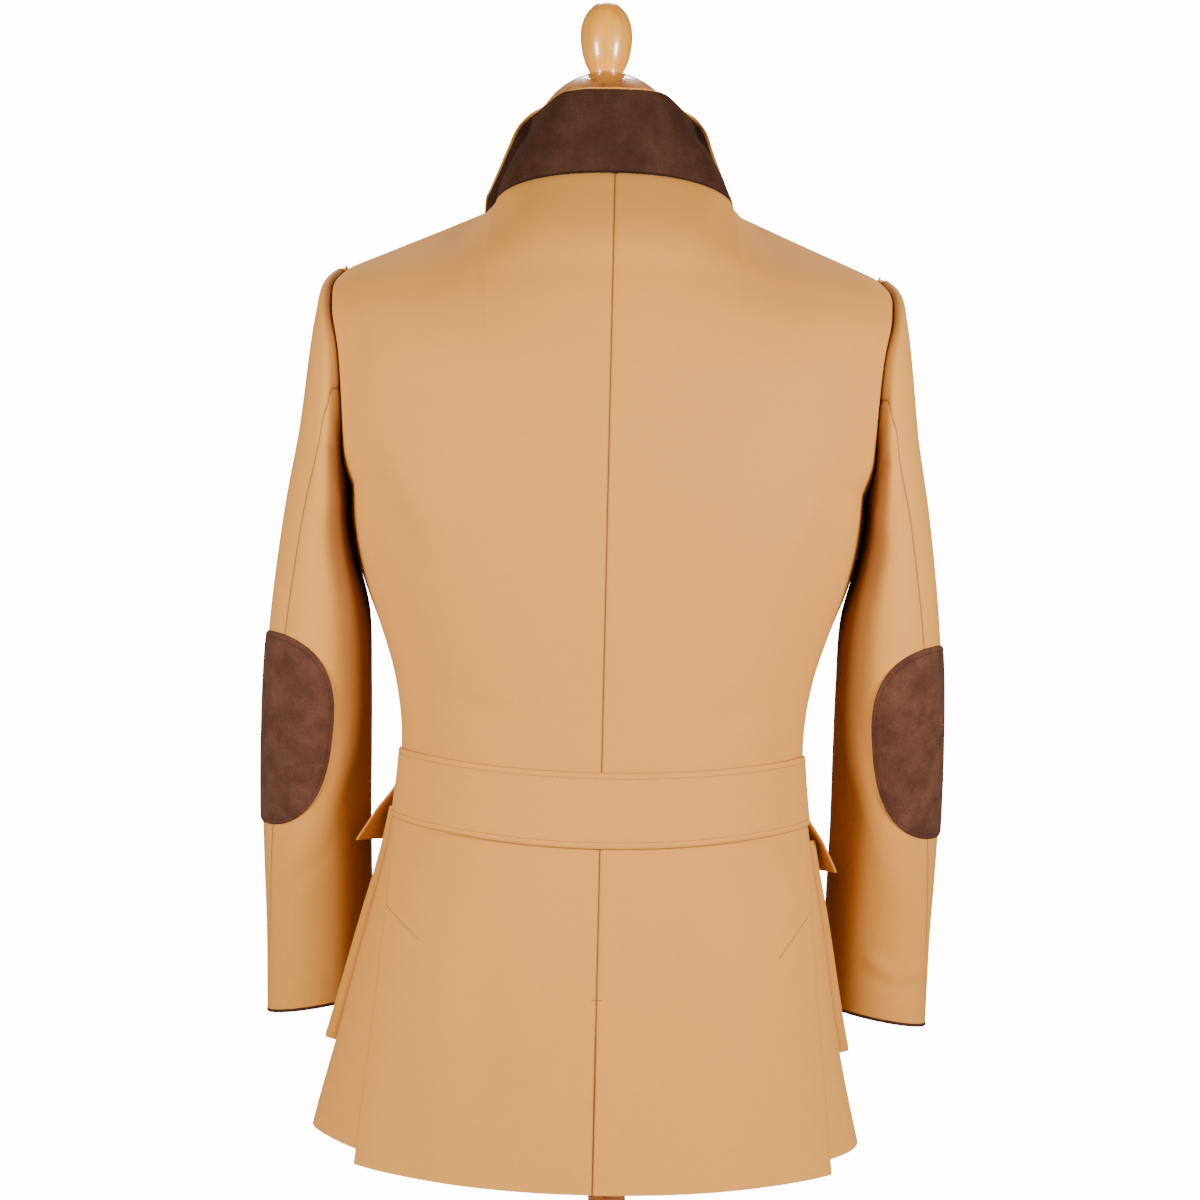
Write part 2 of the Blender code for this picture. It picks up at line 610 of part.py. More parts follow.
def build_skirt(side, cotton, lean):
    """Back skirt half with its vent and pleat edge, and the side piece under the pleat."""
    levels = np.array(SKIRT_LEVELS)
    columns = share_columns(11)
    shares = columns[None, :] * pleat_share(levels)[:, None]
    shares[-1] = columns * SKIRT_TOP_SHARE
    grid = body_grid(True, levels, shares)
    normals = grid_normals(grid, from_axis(grid))
    normals[:, 0, 0] = 0.0
    normals = unit(normals)
    near_edge = smooth(1.0 - (1.0 - columns[None, :]) / PLEAT_STAND_RUN)
    below_belt = smooth((BELT_FOOT_MID - levels) / PLEAT_FADE)[:, None]
    grid = grid + normals * (PLEAT_STAND * near_edge * below_belt)[..., None]
    vent = smooth((VENT_TOP - levels) / (VENT_TOP - HEM_SIDE)) * VENT_OPEN
    grid[:, 0, 0] = SEAM_GAP / 2.0 + vent
    hang = smooth(1.0 - (levels - HEM_SIDE) / HEM_DROP_RUN)[:, None]
    grid[..., 2] -= SKIRT_HEM_DROP * hang * columns[None, :] ** 2
    add_wall(side_name("skirt", side), mirrored(grid, side), mirrored(normals, side), CLOTH, cotton, lean)

    under_levels = np.array(UNDER_LEVELS)
    edge = pleat_share(under_levels)
    beside = np.sin(np.arcsin(edge) + UNDER_SIDE_GAP)
    start = np.where(under_levels < UNDER_LAP_END, edge - PLEAT_UNDERLAP, beside)
    shares = start[:, None] + (1.0 - start[:, None]) * share_columns(6)[None, :]
    grid = body_grid(True, under_levels, shares)
    normals = grid_normals(grid, from_axis(grid))
    normals[:, -1, 1] = 0.0
    normals = unit(normals)
    grid[:, -1, 1] += SEAM_GAP / 2.0
    grid[0, :, 2] += UNDER_HEM_RISE * (1.0 - share_columns(6))
    grid = sway(grid, side)
    add_wall(side_name("pleat_under", side), mirrored(grid, side), mirrored(normals, side), CLOTH, cotton, lean)


def build_belt(cotton, lean):
    """Half belt that lies on the back from side seam to side seam."""
    half = share_columns(11) * BELT_REACH
    shares = np.concatenate([-half[:0:-1], half])
    rise = BELT_SIDE_RISE * shares ** 2
    rows = []
    for height in np.linspace(BELT_FOOT_MID, BELT_FOOT_MID + BELT_HEIGHT, 5):
        rows.append([body_row(True, height + lift, np.array([share]))[0] for share, lift in zip(shares, rise)])
    grid = np.array(rows)
    normals = grid_normals(grid, from_axis(grid))
    add_wall("belt_back", grid + normals * (LAY_GAP + BELT_THICK), normals, BELT_THICK, cotton, lean)


def front_patch(level_range, share_range, rows, columns):
    """Grid and normals of a stretch of the front between two heights and two shares."""
    levels = np.linspace(*level_range, rows)
    first, last = (math.asin(share) * 2.0 / math.pi for share in share_range)
    grid = body_grid(False, levels, share_columns(columns, first, last))
    return grid, grid_normals(grid, from_axis(grid))


def build_pocket(side, cotton, lean):
    """Bellows pocket and its flared flap on one front."""
    grid, normals = front_patch(POCKET_LEVELS[side], POCKET_SHARES, 8, 9)
    across = np.linspace(0.0, 1.0, 9)[None, :]
    up = np.linspace(0.0, 1.0, 8)[:, None]
    soft = smooth(across / 0.12) * smooth((1.0 - across) / 0.10) * smooth(up / 0.10)
    full = (POCKET_BULGE - CLOTH) * (0.45 + 0.55 * soft) + POCKET_SIDE_BULGE * across ** 6
    bulge = LAY_GAP + CLOTH + full * (1.0 - 0.45 * up)
    outer = sway(grid + normals * bulge[..., None], side)
    inner = sway(grid + normals * LAY_GAP, side)
    vertices, faces = closed_wall(mirrored(outer, side), mirrored(inner, side))
    add_object(side_name("pocket", side), vertices, faces, cotton, lean)

    grid, normals = front_patch(FLAP_LEVELS[side], FLAP_SHARES, 6, 10)
    across = np.linspace(0.0, 1.0, 10)[None, :]
    down = 1.0 - np.linspace(0.0, 1.0, 6)[:, None]
    stand = POCKET_BULGE * 0.72 * smooth(down / 0.55)
    flare = FLAP_FLARE[side] * (0.5 + 0.5 * across ** 3) * down ** 1.1 - POCKET_BULGE * 0.35 * down
    lift = LAY_GAP + FLAP_THICK + stand + flare
    outer = sway(grid + normals * lift[..., None], side)
    inner = sway(grid + normals * (lift - FLAP_THICK)[..., None], side)
    vertices, faces = closed_wall(mirrored(outer, side), mirrored(inner, side))
    add_object(side_name("flap", side), vertices, faces, cotton, lean)


def collar_base(along):
    """Neckline point at a share along the collar, from the centre back to the front end."""
    neck_share = NECK_POINT[0] / SHOULDER_POINT[0]
    if along <= COLLAR_NECK_SHARE:
        turn = along / COLLAR_NECK_SHARE * math.pi / 2.0
        return seam_line(True, np.array(math.sin(turn) ** (2.0 / NECK_ROUNDNESS) * neck_share))
    turn = (along - COLLAR_NECK_SHARE) / (1.0 - COLLAR_NECK_SHARE) * math.radians(COLLAR_END_TURN)
    return seam_line(False, np.array(math.cos(turn) ** (2.0 / NECK_ROUNDNESS) * neck_share))


def collar_line(along):
    """Points of the collar from the neck seam to the free edge at a signed share along it."""
    side = -1.0 if along < 0.0 else 1.0
    table = np.array(COLLAR_EDGES)
    *edge, depth = read_rows(table[:, 0], table[:, 1:], abs(along))[0]
    edge = np.array(edge)
    edge[0] += side * COLLAR_SWAY * smooth(abs(along) / COLLAR_SWAY_SHARE)
    foot = collar_base(abs(along))
    rise = COLLAR_LIFT + COLLAR_NECK_LIFT * math.exp(-((abs(along) - COLLAR_NECK_SHARE) / COLLAR_NECK_RUN) ** 2)
    foot = foot + unit(edge - foot) * rise
    inward = unit(np.array([-foot[0], NECK_CENTRE_Y - foot[1], 0.0]))
    rolled = min(1.0, depth / COLLAR_FULL_ROLL)
    line = []
    for row in COLLAR_ROLL:
        point = foot + (edge - foot) * row.up
        point[2] = foot[2] + (edge[2] - foot[2]) * (row.up + (row.rise - row.up) * rolled)
        line.append(mirrored(point + inward * depth * row.inward, side))
    return line


def build_collar(cotton, suede, lean):
    """Standing collar: a suede outer layer and a cotton inner layer that shows at its edge."""
    half = np.linspace(0.0, 1.0, COLLAR_COLUMNS)
    alongs = np.concatenate([-half[:0:-1], half])
    grid = np.array([collar_line(along) for along in alongs]).transpose(1, 0, 2)
    normals = grid_normals(grid, from_axis(grid))
    add_wall("collar_outer", grid, normals, SUEDE, suede, lean)
    inner = grid - normals * (SUEDE + COLLAR_LAYER_GAP)
    inner[-1] += unit(grid[-1] - grid[-2]) * COLLAR_TAN_RISE
    inner[0] += unit(grid[1] - grid[0]) * COLLAR_FOOT_TRIM
    add_wall("collar_inner", inner, normals, SUEDE, cotton, lean)


def build_buttons(horn, lean):
    """Four plain round buttons down the left front's edge."""
    for number, level in enumerate(BUTTON_LEVELS, start=1):
        row = body_row(False, level, np.array([0.0]))[0]
        ahead = unit(body_row(False, level + 0.01, np.array([0.0]))[0] - row)
        out = FRONT_LIFT + SEAM_GAP + BUTTON_THICK / 2.0
        mesh = bpy.data.meshes.new(f"button_{number}")
        work = bmesh.new()
        bmesh.ops.create_cone(work, cap_ends=True, segments=18, radius1=BUTTON_RADIUS,
                              radius2=BUTTON_RADIUS * 0.9, depth=BUTTON_THICK)
        work.to_mesh(mesh)
        work.free()
        mesh.materials.append(horn)
        button = bpy.data.objects.new(f"button_{number}", mesh)
        bpy.context.scene.collection.objects.link(button)
        button.parent = lean
        button.rotation_euler = (math.pi / 2.0 - math.atan2(ahead[1], ahead[2]), 0.0, 0.0)
        button.location = (row[0], row[1] - out * ahead[2], row[2] + out * ahead[1])


def turned(profile, centre_x, centre_y, sides=TURNED_SIDES):
    """Vertices and faces of a solid turned about an upright axis, from (radius, height) points."""
    vertices = []
    faces = []
    for radius, height in profile:
        for k in range(sides):
            angle = 2.0 * math.pi * k / sides
            vertices.append((centre_x + radius * math.cos(angle), centre_y + radius * math.sin(angle), height))
    for r in range(len(profile) - 1):
        for k in range(sides):
            after = (k + 1) % sides
            faces.append((r * sides + k, r * sides + after, (r + 1) * sides + after, (r + 1) * sides + k))
    faces.append(tuple(range(sides))[::-1])
    faces.append(tuple((len(profile) - 1) * sides + k for k in range(sides)))
    return vertices, faces


def build_torso(linen, lean, to_lean):
    """Smooth covered body of the dress form, just inside the jacket and closed at the shoulders."""
    levels = np.concatenate([FORM_LEVELS, armhole_levels()])
    columns = neck_and_shoulder_columns()
    halves = []
    for is_back in (True, False):
        grid = body_grid(is_back, levels, columns)
        normals = grid_normals(grid, from_axis(grid))
        normals[:, 0, 0] = 0.0
        normals[-1, NECK_COLUMN:] = shoulder_normal()
        normals = unit(normals)
        near_top = smooth((levels - FORM_CLOSE) / (SHOULDER_TIP - FORM_CLOSE))[:, None]
        ease = FORM_EASE * (1.0 - near_top) + FORM_YOKE_EASE * near_top
        ease = ease + np.zeros((1, len(columns)))
        ease[-1] = FORM_SHOULDER_EASE
        ease[-1, :NECK_COLUMN] = FORM_NECK_EASE
        ease[:, -3:] += FORM_SIDE_EASE
        halves.append(grid - normals * (CLOTH + ease)[..., None])
    back, front = halves
    side_line = (back[:, -1] + front[:, -1]) / 2.0
    side_line[:, 0] = np.minimum(back[:, -1, 0], front[:, -1, 0]) - FORM_SIDE_INSET
    tip = len(columns) - 1
    loops = np.concatenate([back[:, :tip], side_line[:, None], front[:, tip - 1::-1],
                            mirrored(front[:, 1:tip], -1), mirrored(side_line[:, None], -1),
                            mirrored(back[:, tip - 1:0:-1], -1)], axis=1)
    from_lean = np.linalg.inv(to_lean)
    for point in loops[0]:
        level_foot = from_lean @ np.append(point, 1.0)
        level_foot[2] = FORM_FOOT
        point[:] = (to_lean @ level_foot)[:3]
    merged = loops[-1]
    around = loops.shape[1]
    for k in range(NECK_COLUMN, tip):
        partner = 2 * tip - k
        middle = (merged[k] + merged[partner]) / 2.0
        merged[k] = merged[partner] = middle
        merged[-k % around] = merged[-partner % around] = mirrored(middle, -1)
    vertices = list(loops.reshape(-1, 3))
    faces = [tuple(range(around))[::-1]]
    for r in range(len(levels) - 1):
        for k in range(around):
            after = (k + 1) % around
            faces.append((r * around + k, r * around + after, (r + 1) * around + after, (r + 1) * around + k))
    top = (len(levels) - 1) * around
    collar_ring = list(range(NECK_COLUMN + 1)) + list(range(2 * tip - NECK_COLUMN + 1, 2 * tip + NECK_COLUMN))
    collar_ring += list(range(around - NECK_COLUMN, around))
    ring = [top + k for k in collar_ring]
    start = np.array([vertices[k] for k in ring])
    for share, height in NECK_RINGS + ((1.0, NECK_TOP),):
        row = len(vertices)
        for point in start:
            angle = math.atan2(point[1] - NECK_CENTRE_Y, point[0])
            ideal = to_lean @ np.array([NECK_RADIUS * math.cos(angle), NECK_CENTRE_Y + NECK_RADIUS * math.sin(angle),
                                        height, 1.0])
            vertices.append(point * (1.0 - share) + ideal[:3] * share)
        for k in range(len(ring)):
            after = (k + 1) % len(ring)
            faces.append((ring[k], ring[after], row + after, row + k))
        ring = [row + k for k in range(len(ring))]
    faces.append(tuple(ring))
    add_object("form_torso", vertices, faces, linen, lean)


def build_stand(wood, dark_wood):
    """Neck cap, finial, pole and base, all turned about the upright axis."""
    dome_centre = CAP_TOP - math.sqrt(CAP_DOME_RADIUS ** 2 - CAP_FLAT ** 2)
    foot = NECK_TOP + SEAM_GAP
    profile = [(NECK_RADIUS - 0.002, foot), (NECK_RADIUS, foot + 0.004)]
    for radius in (0.0555, 0.050, 0.043, 0.035, 0.026, CAP_FLAT):
        profile.append((radius, dome_centre + math.sqrt(CAP_DOME_RADIUS ** 2 - radius ** 2)))
    add_object("neck_cap", *turned(profile, 0.0, NECK_CENTRE_Y), dark_wood)

    start = CAP_TOP + SEAM_GAP
    waist = start + FINIAL_WAIST_SHARE * (FINIAL_TOP - start)
    drop = (waist - start) / math.sqrt(1.0 - (FINIAL_NECK / FINIAL_RADIUS) ** 2)
    profile = [(FINIAL_NECK + 0.0012, start)]
    for share in np.linspace(0.93, 0.0, 6):
        height = waist - (waist - start) * share
        profile.append((FINIAL_RADIUS * math.sqrt(1.0 - ((waist - height) / drop) ** 2), height))
    for turn in np.linspace(0.0, 1.45, 7)[1:]:
        profile.append((FINIAL_RADIUS * math.cos(turn), waist + (FINIAL_TOP - waist) * math.sin(turn)))
    add_object("finial", *turned(profile, 0.0, NECK_CENTRE_Y), wood)

    profile = [(POLE_RADIUS, BASE_HEIGHT + SEAM_GAP), (POLE_RADIUS, FORM_FOOT - SEAM_GAP)]
    add_object("pole", *turned(profile, 0.0, 0.0, 20), dark_wood)
    profile = [(BASE_RADIUS - 0.004, 0.0), (BASE_RADIUS, 0.004), (BASE_RADIUS, 0.016), (BASE_RADIUS - 0.006, 0.023),
               (BASE_RADIUS - 0.020, BASE_HEIGHT)]
    add_object("base", *turned(profile, 0.0, 0.0, 36), dark_wood)


def main():
    """Build the jacket and its form."""
    for existing in list(bpy.data.objects):
        bpy.data.objects.remove(existing)
    cotton = material("tan_cotton", (0.62, 0.37, 0.17), 0.85)
    suede = material("brown_suede", (0.10, 0.045, 0.03), 0.95)
    horn = material("horn_button", (0.09, 0.05, 0.03), 0.4)
    linen = material("form_linen", (0.72, 0.66, 0.55), 0.9)
    wood = material("varnished_wood", (0.66, 0.33, 0.10), 0.3)
    dark_wood = material("stand_wood", (0.50, 0.24, 0.09), 0.35)

    lean = bpy.data.objects.new("jacket_lean", None)
    bpy.context.scene.collection.objects.link(lean)
    angle = math.radians(LEAN_DEGREES)
    lean.rotation_euler = (0.0, angle, 0.0)
    turn = np.array([[math.cos(angle), 0.0, math.sin(angle)], [0.0, 1.0, 0.0],
                     [-math.sin(angle), 0.0, math.cos(angle)]])
    pivot = np.array(LEAN_PIVOT)
    place = pivot - turn @ np.array([0.0, 0.0, LEAN_PIVOT[2]])
    lean.location = tuple(place)
    to_lean = np.eye(4)
    to_lean[:3, :3] = turn.T
    to_lean[:3, 3] = -turn.T @ place

    for side in (1.0, -1.0):
        sleeve, sleeve_normals = build_body(side, cotton, lean)
        build_cuff_binding(side, sleeve, sleeve_normals, suede, lean)
        build_elbow_patch(side, suede, lean)
        build_skirt(side, cotton, lean)
        build_pocket(side, cotton, lean)
    build_belt(cotton, lean)
    build_collar(cotton, suede, lean)
    build_buttons(horn, lean)
    build_torso(linen, lean, to_lean)
    build_stand(wood, dark_wood)


main()
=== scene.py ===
"""Looks, camera and light for a tan cotton field jacket on its dress form.

Every cloth piece is a thin shell on the form of its own solid, finer and with soft folds. Points are worked
out in the jacket's own upright frame, in metres, and are then leaned as the whole jacket leans on its form.
"""
from __future__ import annotations

import json
import logging
import math
from dataclasses import dataclass, field
from enum import Enum
from typing import NamedTuple, Sequence

import bpy
import numpy as np
from mathutils.bvhtree import BVHTree
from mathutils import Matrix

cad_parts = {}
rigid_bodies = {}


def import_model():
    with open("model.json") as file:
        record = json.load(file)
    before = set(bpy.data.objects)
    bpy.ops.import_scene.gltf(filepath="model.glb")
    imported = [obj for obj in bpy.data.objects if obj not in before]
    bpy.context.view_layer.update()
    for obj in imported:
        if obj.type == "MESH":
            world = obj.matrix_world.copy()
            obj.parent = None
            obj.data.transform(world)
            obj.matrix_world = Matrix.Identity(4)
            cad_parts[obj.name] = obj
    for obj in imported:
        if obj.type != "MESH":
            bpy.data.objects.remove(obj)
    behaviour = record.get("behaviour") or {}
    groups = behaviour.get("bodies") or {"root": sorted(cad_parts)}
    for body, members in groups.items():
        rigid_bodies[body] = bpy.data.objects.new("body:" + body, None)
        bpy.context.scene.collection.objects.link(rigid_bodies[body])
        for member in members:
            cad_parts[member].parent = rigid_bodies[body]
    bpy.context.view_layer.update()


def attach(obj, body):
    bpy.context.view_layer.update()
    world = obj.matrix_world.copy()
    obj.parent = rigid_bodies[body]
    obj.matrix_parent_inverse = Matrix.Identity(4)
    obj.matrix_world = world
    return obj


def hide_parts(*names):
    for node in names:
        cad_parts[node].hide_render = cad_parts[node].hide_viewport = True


LOG = logging.getLogger("jacket")
BODY = "root"

# Cloth walls and the gaps between sewn pieces
CLOTH = 0.0016
SUEDE = 0.0013
SEAM_GAP = 0.0003
LAY_GAP = 0.0007

# Height at which thread lies on the cloth
THREAD_LIFT = 0.0001

# Soft groove that a seam draws into the cloth, and the painted shadow line that darkens the cloth along it
SEAM_GROOVE = 0.0008
SEAM_REACH = 0.0026
SEAM_SHADE = 0.70
SEAM_SHADE_REACH = 0.0008
EDGE_STEPS = (0.0005, 0.0011, 0.0018, 0.0027, 0.0042)

# Heights on the side of the body
HEM_SIDE = 0.226
UNDERARM = 0.765
SHOULDER_TIP = 0.951
BODICE_FOOT = 0.505

Color = tuple[float, float, float]
Grid = np.ndarray


class Side(Enum):
    """Wearer's left or right."""

    LEFT = 1.0
    RIGHT = -1.0

    def label(self, piece: str) -> str:
        """Name of a piece with this side added to it."""
        return f"{piece}_{self.name.lower()}"

    def mirrored(self, points: Grid) -> Grid:
        """Points or vectors of the left side, turned into those of this side."""
        return points * np.array([self.value, 1.0, 1.0])


class Half(Enum):
    """Back or front half of the body."""

    BACK = "back"
    FRONT = "front"


class Slot(Enum):
    """Material slots of the record."""

    COTTON = "cotton"
    SUEDE = "suede"
    LINEN = "form_linen"
    VARNISHED = "varnished_wood"
    STAND = "stand_wood"


class Edge(Enum):
    """Edges of a sheet: its first and last rows and columns."""

    FOOT = (0, 0)
    TOP = (0, -1)
    FIRST = (1, 0)
    LAST = (1, -1)


def smooth(share: Grid | float) -> Grid:
    """Ease a share from 0 to 1 with level ends."""
    share = np.clip(share, 0.0, 1.0)
    return share * share * (3.0 - 2.0 * share)


def unit(vectors: Grid) -> Grid:
    """Scale the vectors along the last axis to length one."""
    return vectors / np.maximum(np.linalg.norm(vectors, axis=-1, keepdims=True), 1e-12)


def read_rows(keys: Grid, values: Grid, wanted: Grid) -> Grid:
    """Read a smooth curve through a table's rows.

    Args:
        keys: Rising keys of the rows.
        values: Rows of the table.
        wanted: Keys at which to read.

    Returns:
        One row for each wanted key.
    """
    keys = np.asarray(keys, dtype=float)
    values = np.asarray(values, dtype=float)
    wanted = np.atleast_1d(np.asarray(wanted, dtype=float))
    slopes = np.gradient(values, keys, axis=0)
    i = np.clip(np.searchsorted(keys, wanted, side="right") - 1, 0, len(keys) - 2)
    span = (keys[i + 1] - keys[i])[:, None]
    t = (wanted - keys[i])[:, None] / span
    ease = t * t * (3.0 - 2.0 * t)
    leave = t * (1.0 - t) ** 2
    arrive = t * t * (t - 1.0)
    return (values[i] * (1.0 - ease) + values[i + 1] * ease
            + span * (slopes[i] * leave + slopes[i + 1] * arrive))


def with_edges(values: Grid, span: float, first: bool = True, last: bool = True) -> Grid:
    """Add close steps beside the ends of a run of values, so that an edge can roll.

    Args:
        values: Rising values.
        span: Real length in metres that one unit of the values covers.
        first: Whether to add steps at the first end.
        last: Whether to add steps at the last end.

    Returns:
        The values with the added steps, rising.
    """
    steps = np.array(EDGE_STEPS) / span
    kept = values
    added = []
    if first:
        added.append(values[0] + steps)
        kept = kept[(kept <= values[0]) | (kept > values[0] + steps[-1] * 1.2)]
    if last:
        added.append(values[-1] - steps)
        kept = kept[(kept >= values[-1]) | (kept < values[-1] - steps[-1] * 1.2)]
    return np.sort(np.concatenate([kept, *added]))


@dataclass(frozen=True)
class Lean:
    """How the jacket leans on its upright form."""

    degrees: float = -1.29
    pivot: tuple[float, float, float] = (0.0024, 0.0, 0.602)

    def place(self, points: Grid) -> Grid:
        """Lean points of the jacket's own frame.

        Args:
            points: Points in the jacket's upright frame.

        Returns:
            The points in the world.
        """
        angle = math.radians(self.degrees)
        turn = np.array([[math.cos(angle), 0.0, math.sin(angle)], [0.0, 1.0, 0.0],
                         [-math.sin(angle), 0.0, math.cos(angle)]])
        return (points - np.array([0.0, 0.0, self.pivot[2]])) @ turn.T + np.array(self.pivot)


@dataclass(frozen=True)
class Fold:
    """Soft ridge, or trough where its height is negative, along a short line over a piece's two measures."""

    start: tuple[float, float]
    end: tuple[float, float]
    width: float
    height: float

    def push(self, across: Grid, along: Grid) -> Grid:
        """How far the fold moves the cloth out.

        Args:
            across: First measure of each point, in metres.
            along: Second measure of each point, in metres.

        Returns:
            Distance outwards at each point.
        """
        run = np.subtract(self.end, self.start)
        length = float(np.hypot(*run))
        near = ((across - self.start[0]) * run[0] + (along - self.start[1]) * run[1]) / length ** 2
        off = ((across - self.start[0]) * run[1] - (along - self.start[1]) * run[0]) / length
        fade = np.clip(1.0 - (2.0 * near - 1.0) ** 2, 0.0, 1.0)
        return self.height * fade * np.exp(-(off / self.width) ** 2)


@dataclass
class Sheet:
    """Grid of cloth points, a row for each step up the piece, with outward normals."""

    points: Grid
    normals: Grid
    wrap: bool = False
    # Painted shade of each point, 0 to 1: shadow lines along seams, edges and the patch's stitch ring, and
    # shade where a sleeve faces the body
    shade: Grid | None = None

    def __post_init__(self) -> None:
        """Start with no painted shade."""
        if self.shade is None:
            self.shade = np.zeros(self.points.shape[:2])

    def edge_distance(self, edge: Edge) -> Grid:
        """Distance along the cloth from one edge.

        Args:
            edge: The edge to measure from.

        Returns:
            Distance at each point, in metres.
        """
        axis, end = edge.value
        steps = np.linalg.norm(np.diff(self.points, axis=axis), axis=-1)
        if end == -1:
            steps = np.flip(steps, axis=axis)
        start = np.zeros_like(np.take(steps, [0], axis=axis))
        travelled = np.concatenate([start, np.cumsum(steps, axis=axis)], axis=axis)
        return np.flip(travelled, axis=axis) if end == -1 else travelled

    def pushed(self, out: Grid) -> Sheet:
        """The sheet moved outwards by a distance for each point."""
        return Sheet(self.points + self.normals * out[..., None], self.normals, self.wrap, self.shade)

    def seamed(self, *edges: Edge, groove: float = SEAM_GROOVE, shade: float = SEAM_SHADE) -> Sheet:
        """Roll edges in towards their seams and paint a shadow line along each seam.

        Args:
            edges: Edges that are sewn.
            groove: How deep the edge rolls in.
            shade: How dark the painted shadow line is, from 0 to 1.

        Returns:
            The sheet with its seams.
        """
        out = np.zeros(self.points.shape[:2])
        dark = self.shade.copy()
        for edge in edges:
            distance = self.edge_distance(edge)
            out -= groove * np.exp(-(distance / SEAM_REACH) ** 2)
            # Painted shadow line along the seam
            dark = np.maximum(dark, shade * np.exp(-(distance / SEAM_SHADE_REACH) ** 2))
        moved = self.pushed(out)
        moved.shade = dark
        return moved

    def inset_line(self, edge: Edge, distance: float, lift: float = 0.0) -> Grid:
        """Line on the cloth at a distance from an edge.

        Args:
            edge: The edge to measure from.
            distance: Distance from the edge in metres.
            lift: Distance that the line stands off the cloth.

        Returns:
            Points of the line.
        """
        axis, _ = edge.value
        travelled = self.edge_distance(edge)
        raised = self.points + self.normals * lift
        if axis == 1:
            travelled = travelled.T
            raised = raised.transpose(1, 0, 2)
        line = []
        for column in range(raised.shape[1]):
            order = np.argsort(travelled[:, column])
            reach = travelled[order, column]
            line.append([np.interp(distance, reach, raised[order, column, k]) for k in range(3)])
        return np.array(line)


class BodySection(NamedTuple):
    """Section of the body below the underarm: height at the side, half width, and the two centre lines."""

    level: float
    half_width: float
    back_y: float
    back_z: float
    front_y: float
    front_z: float


class ArmholeSection(NamedTuple):
    """Section that ends on the armhole: centre line, armhole edge, and the width of the whole round."""

    level: float
    mid_z: float
    mid_y: float
    edge_x: float
    edge_y: float
    wide: float


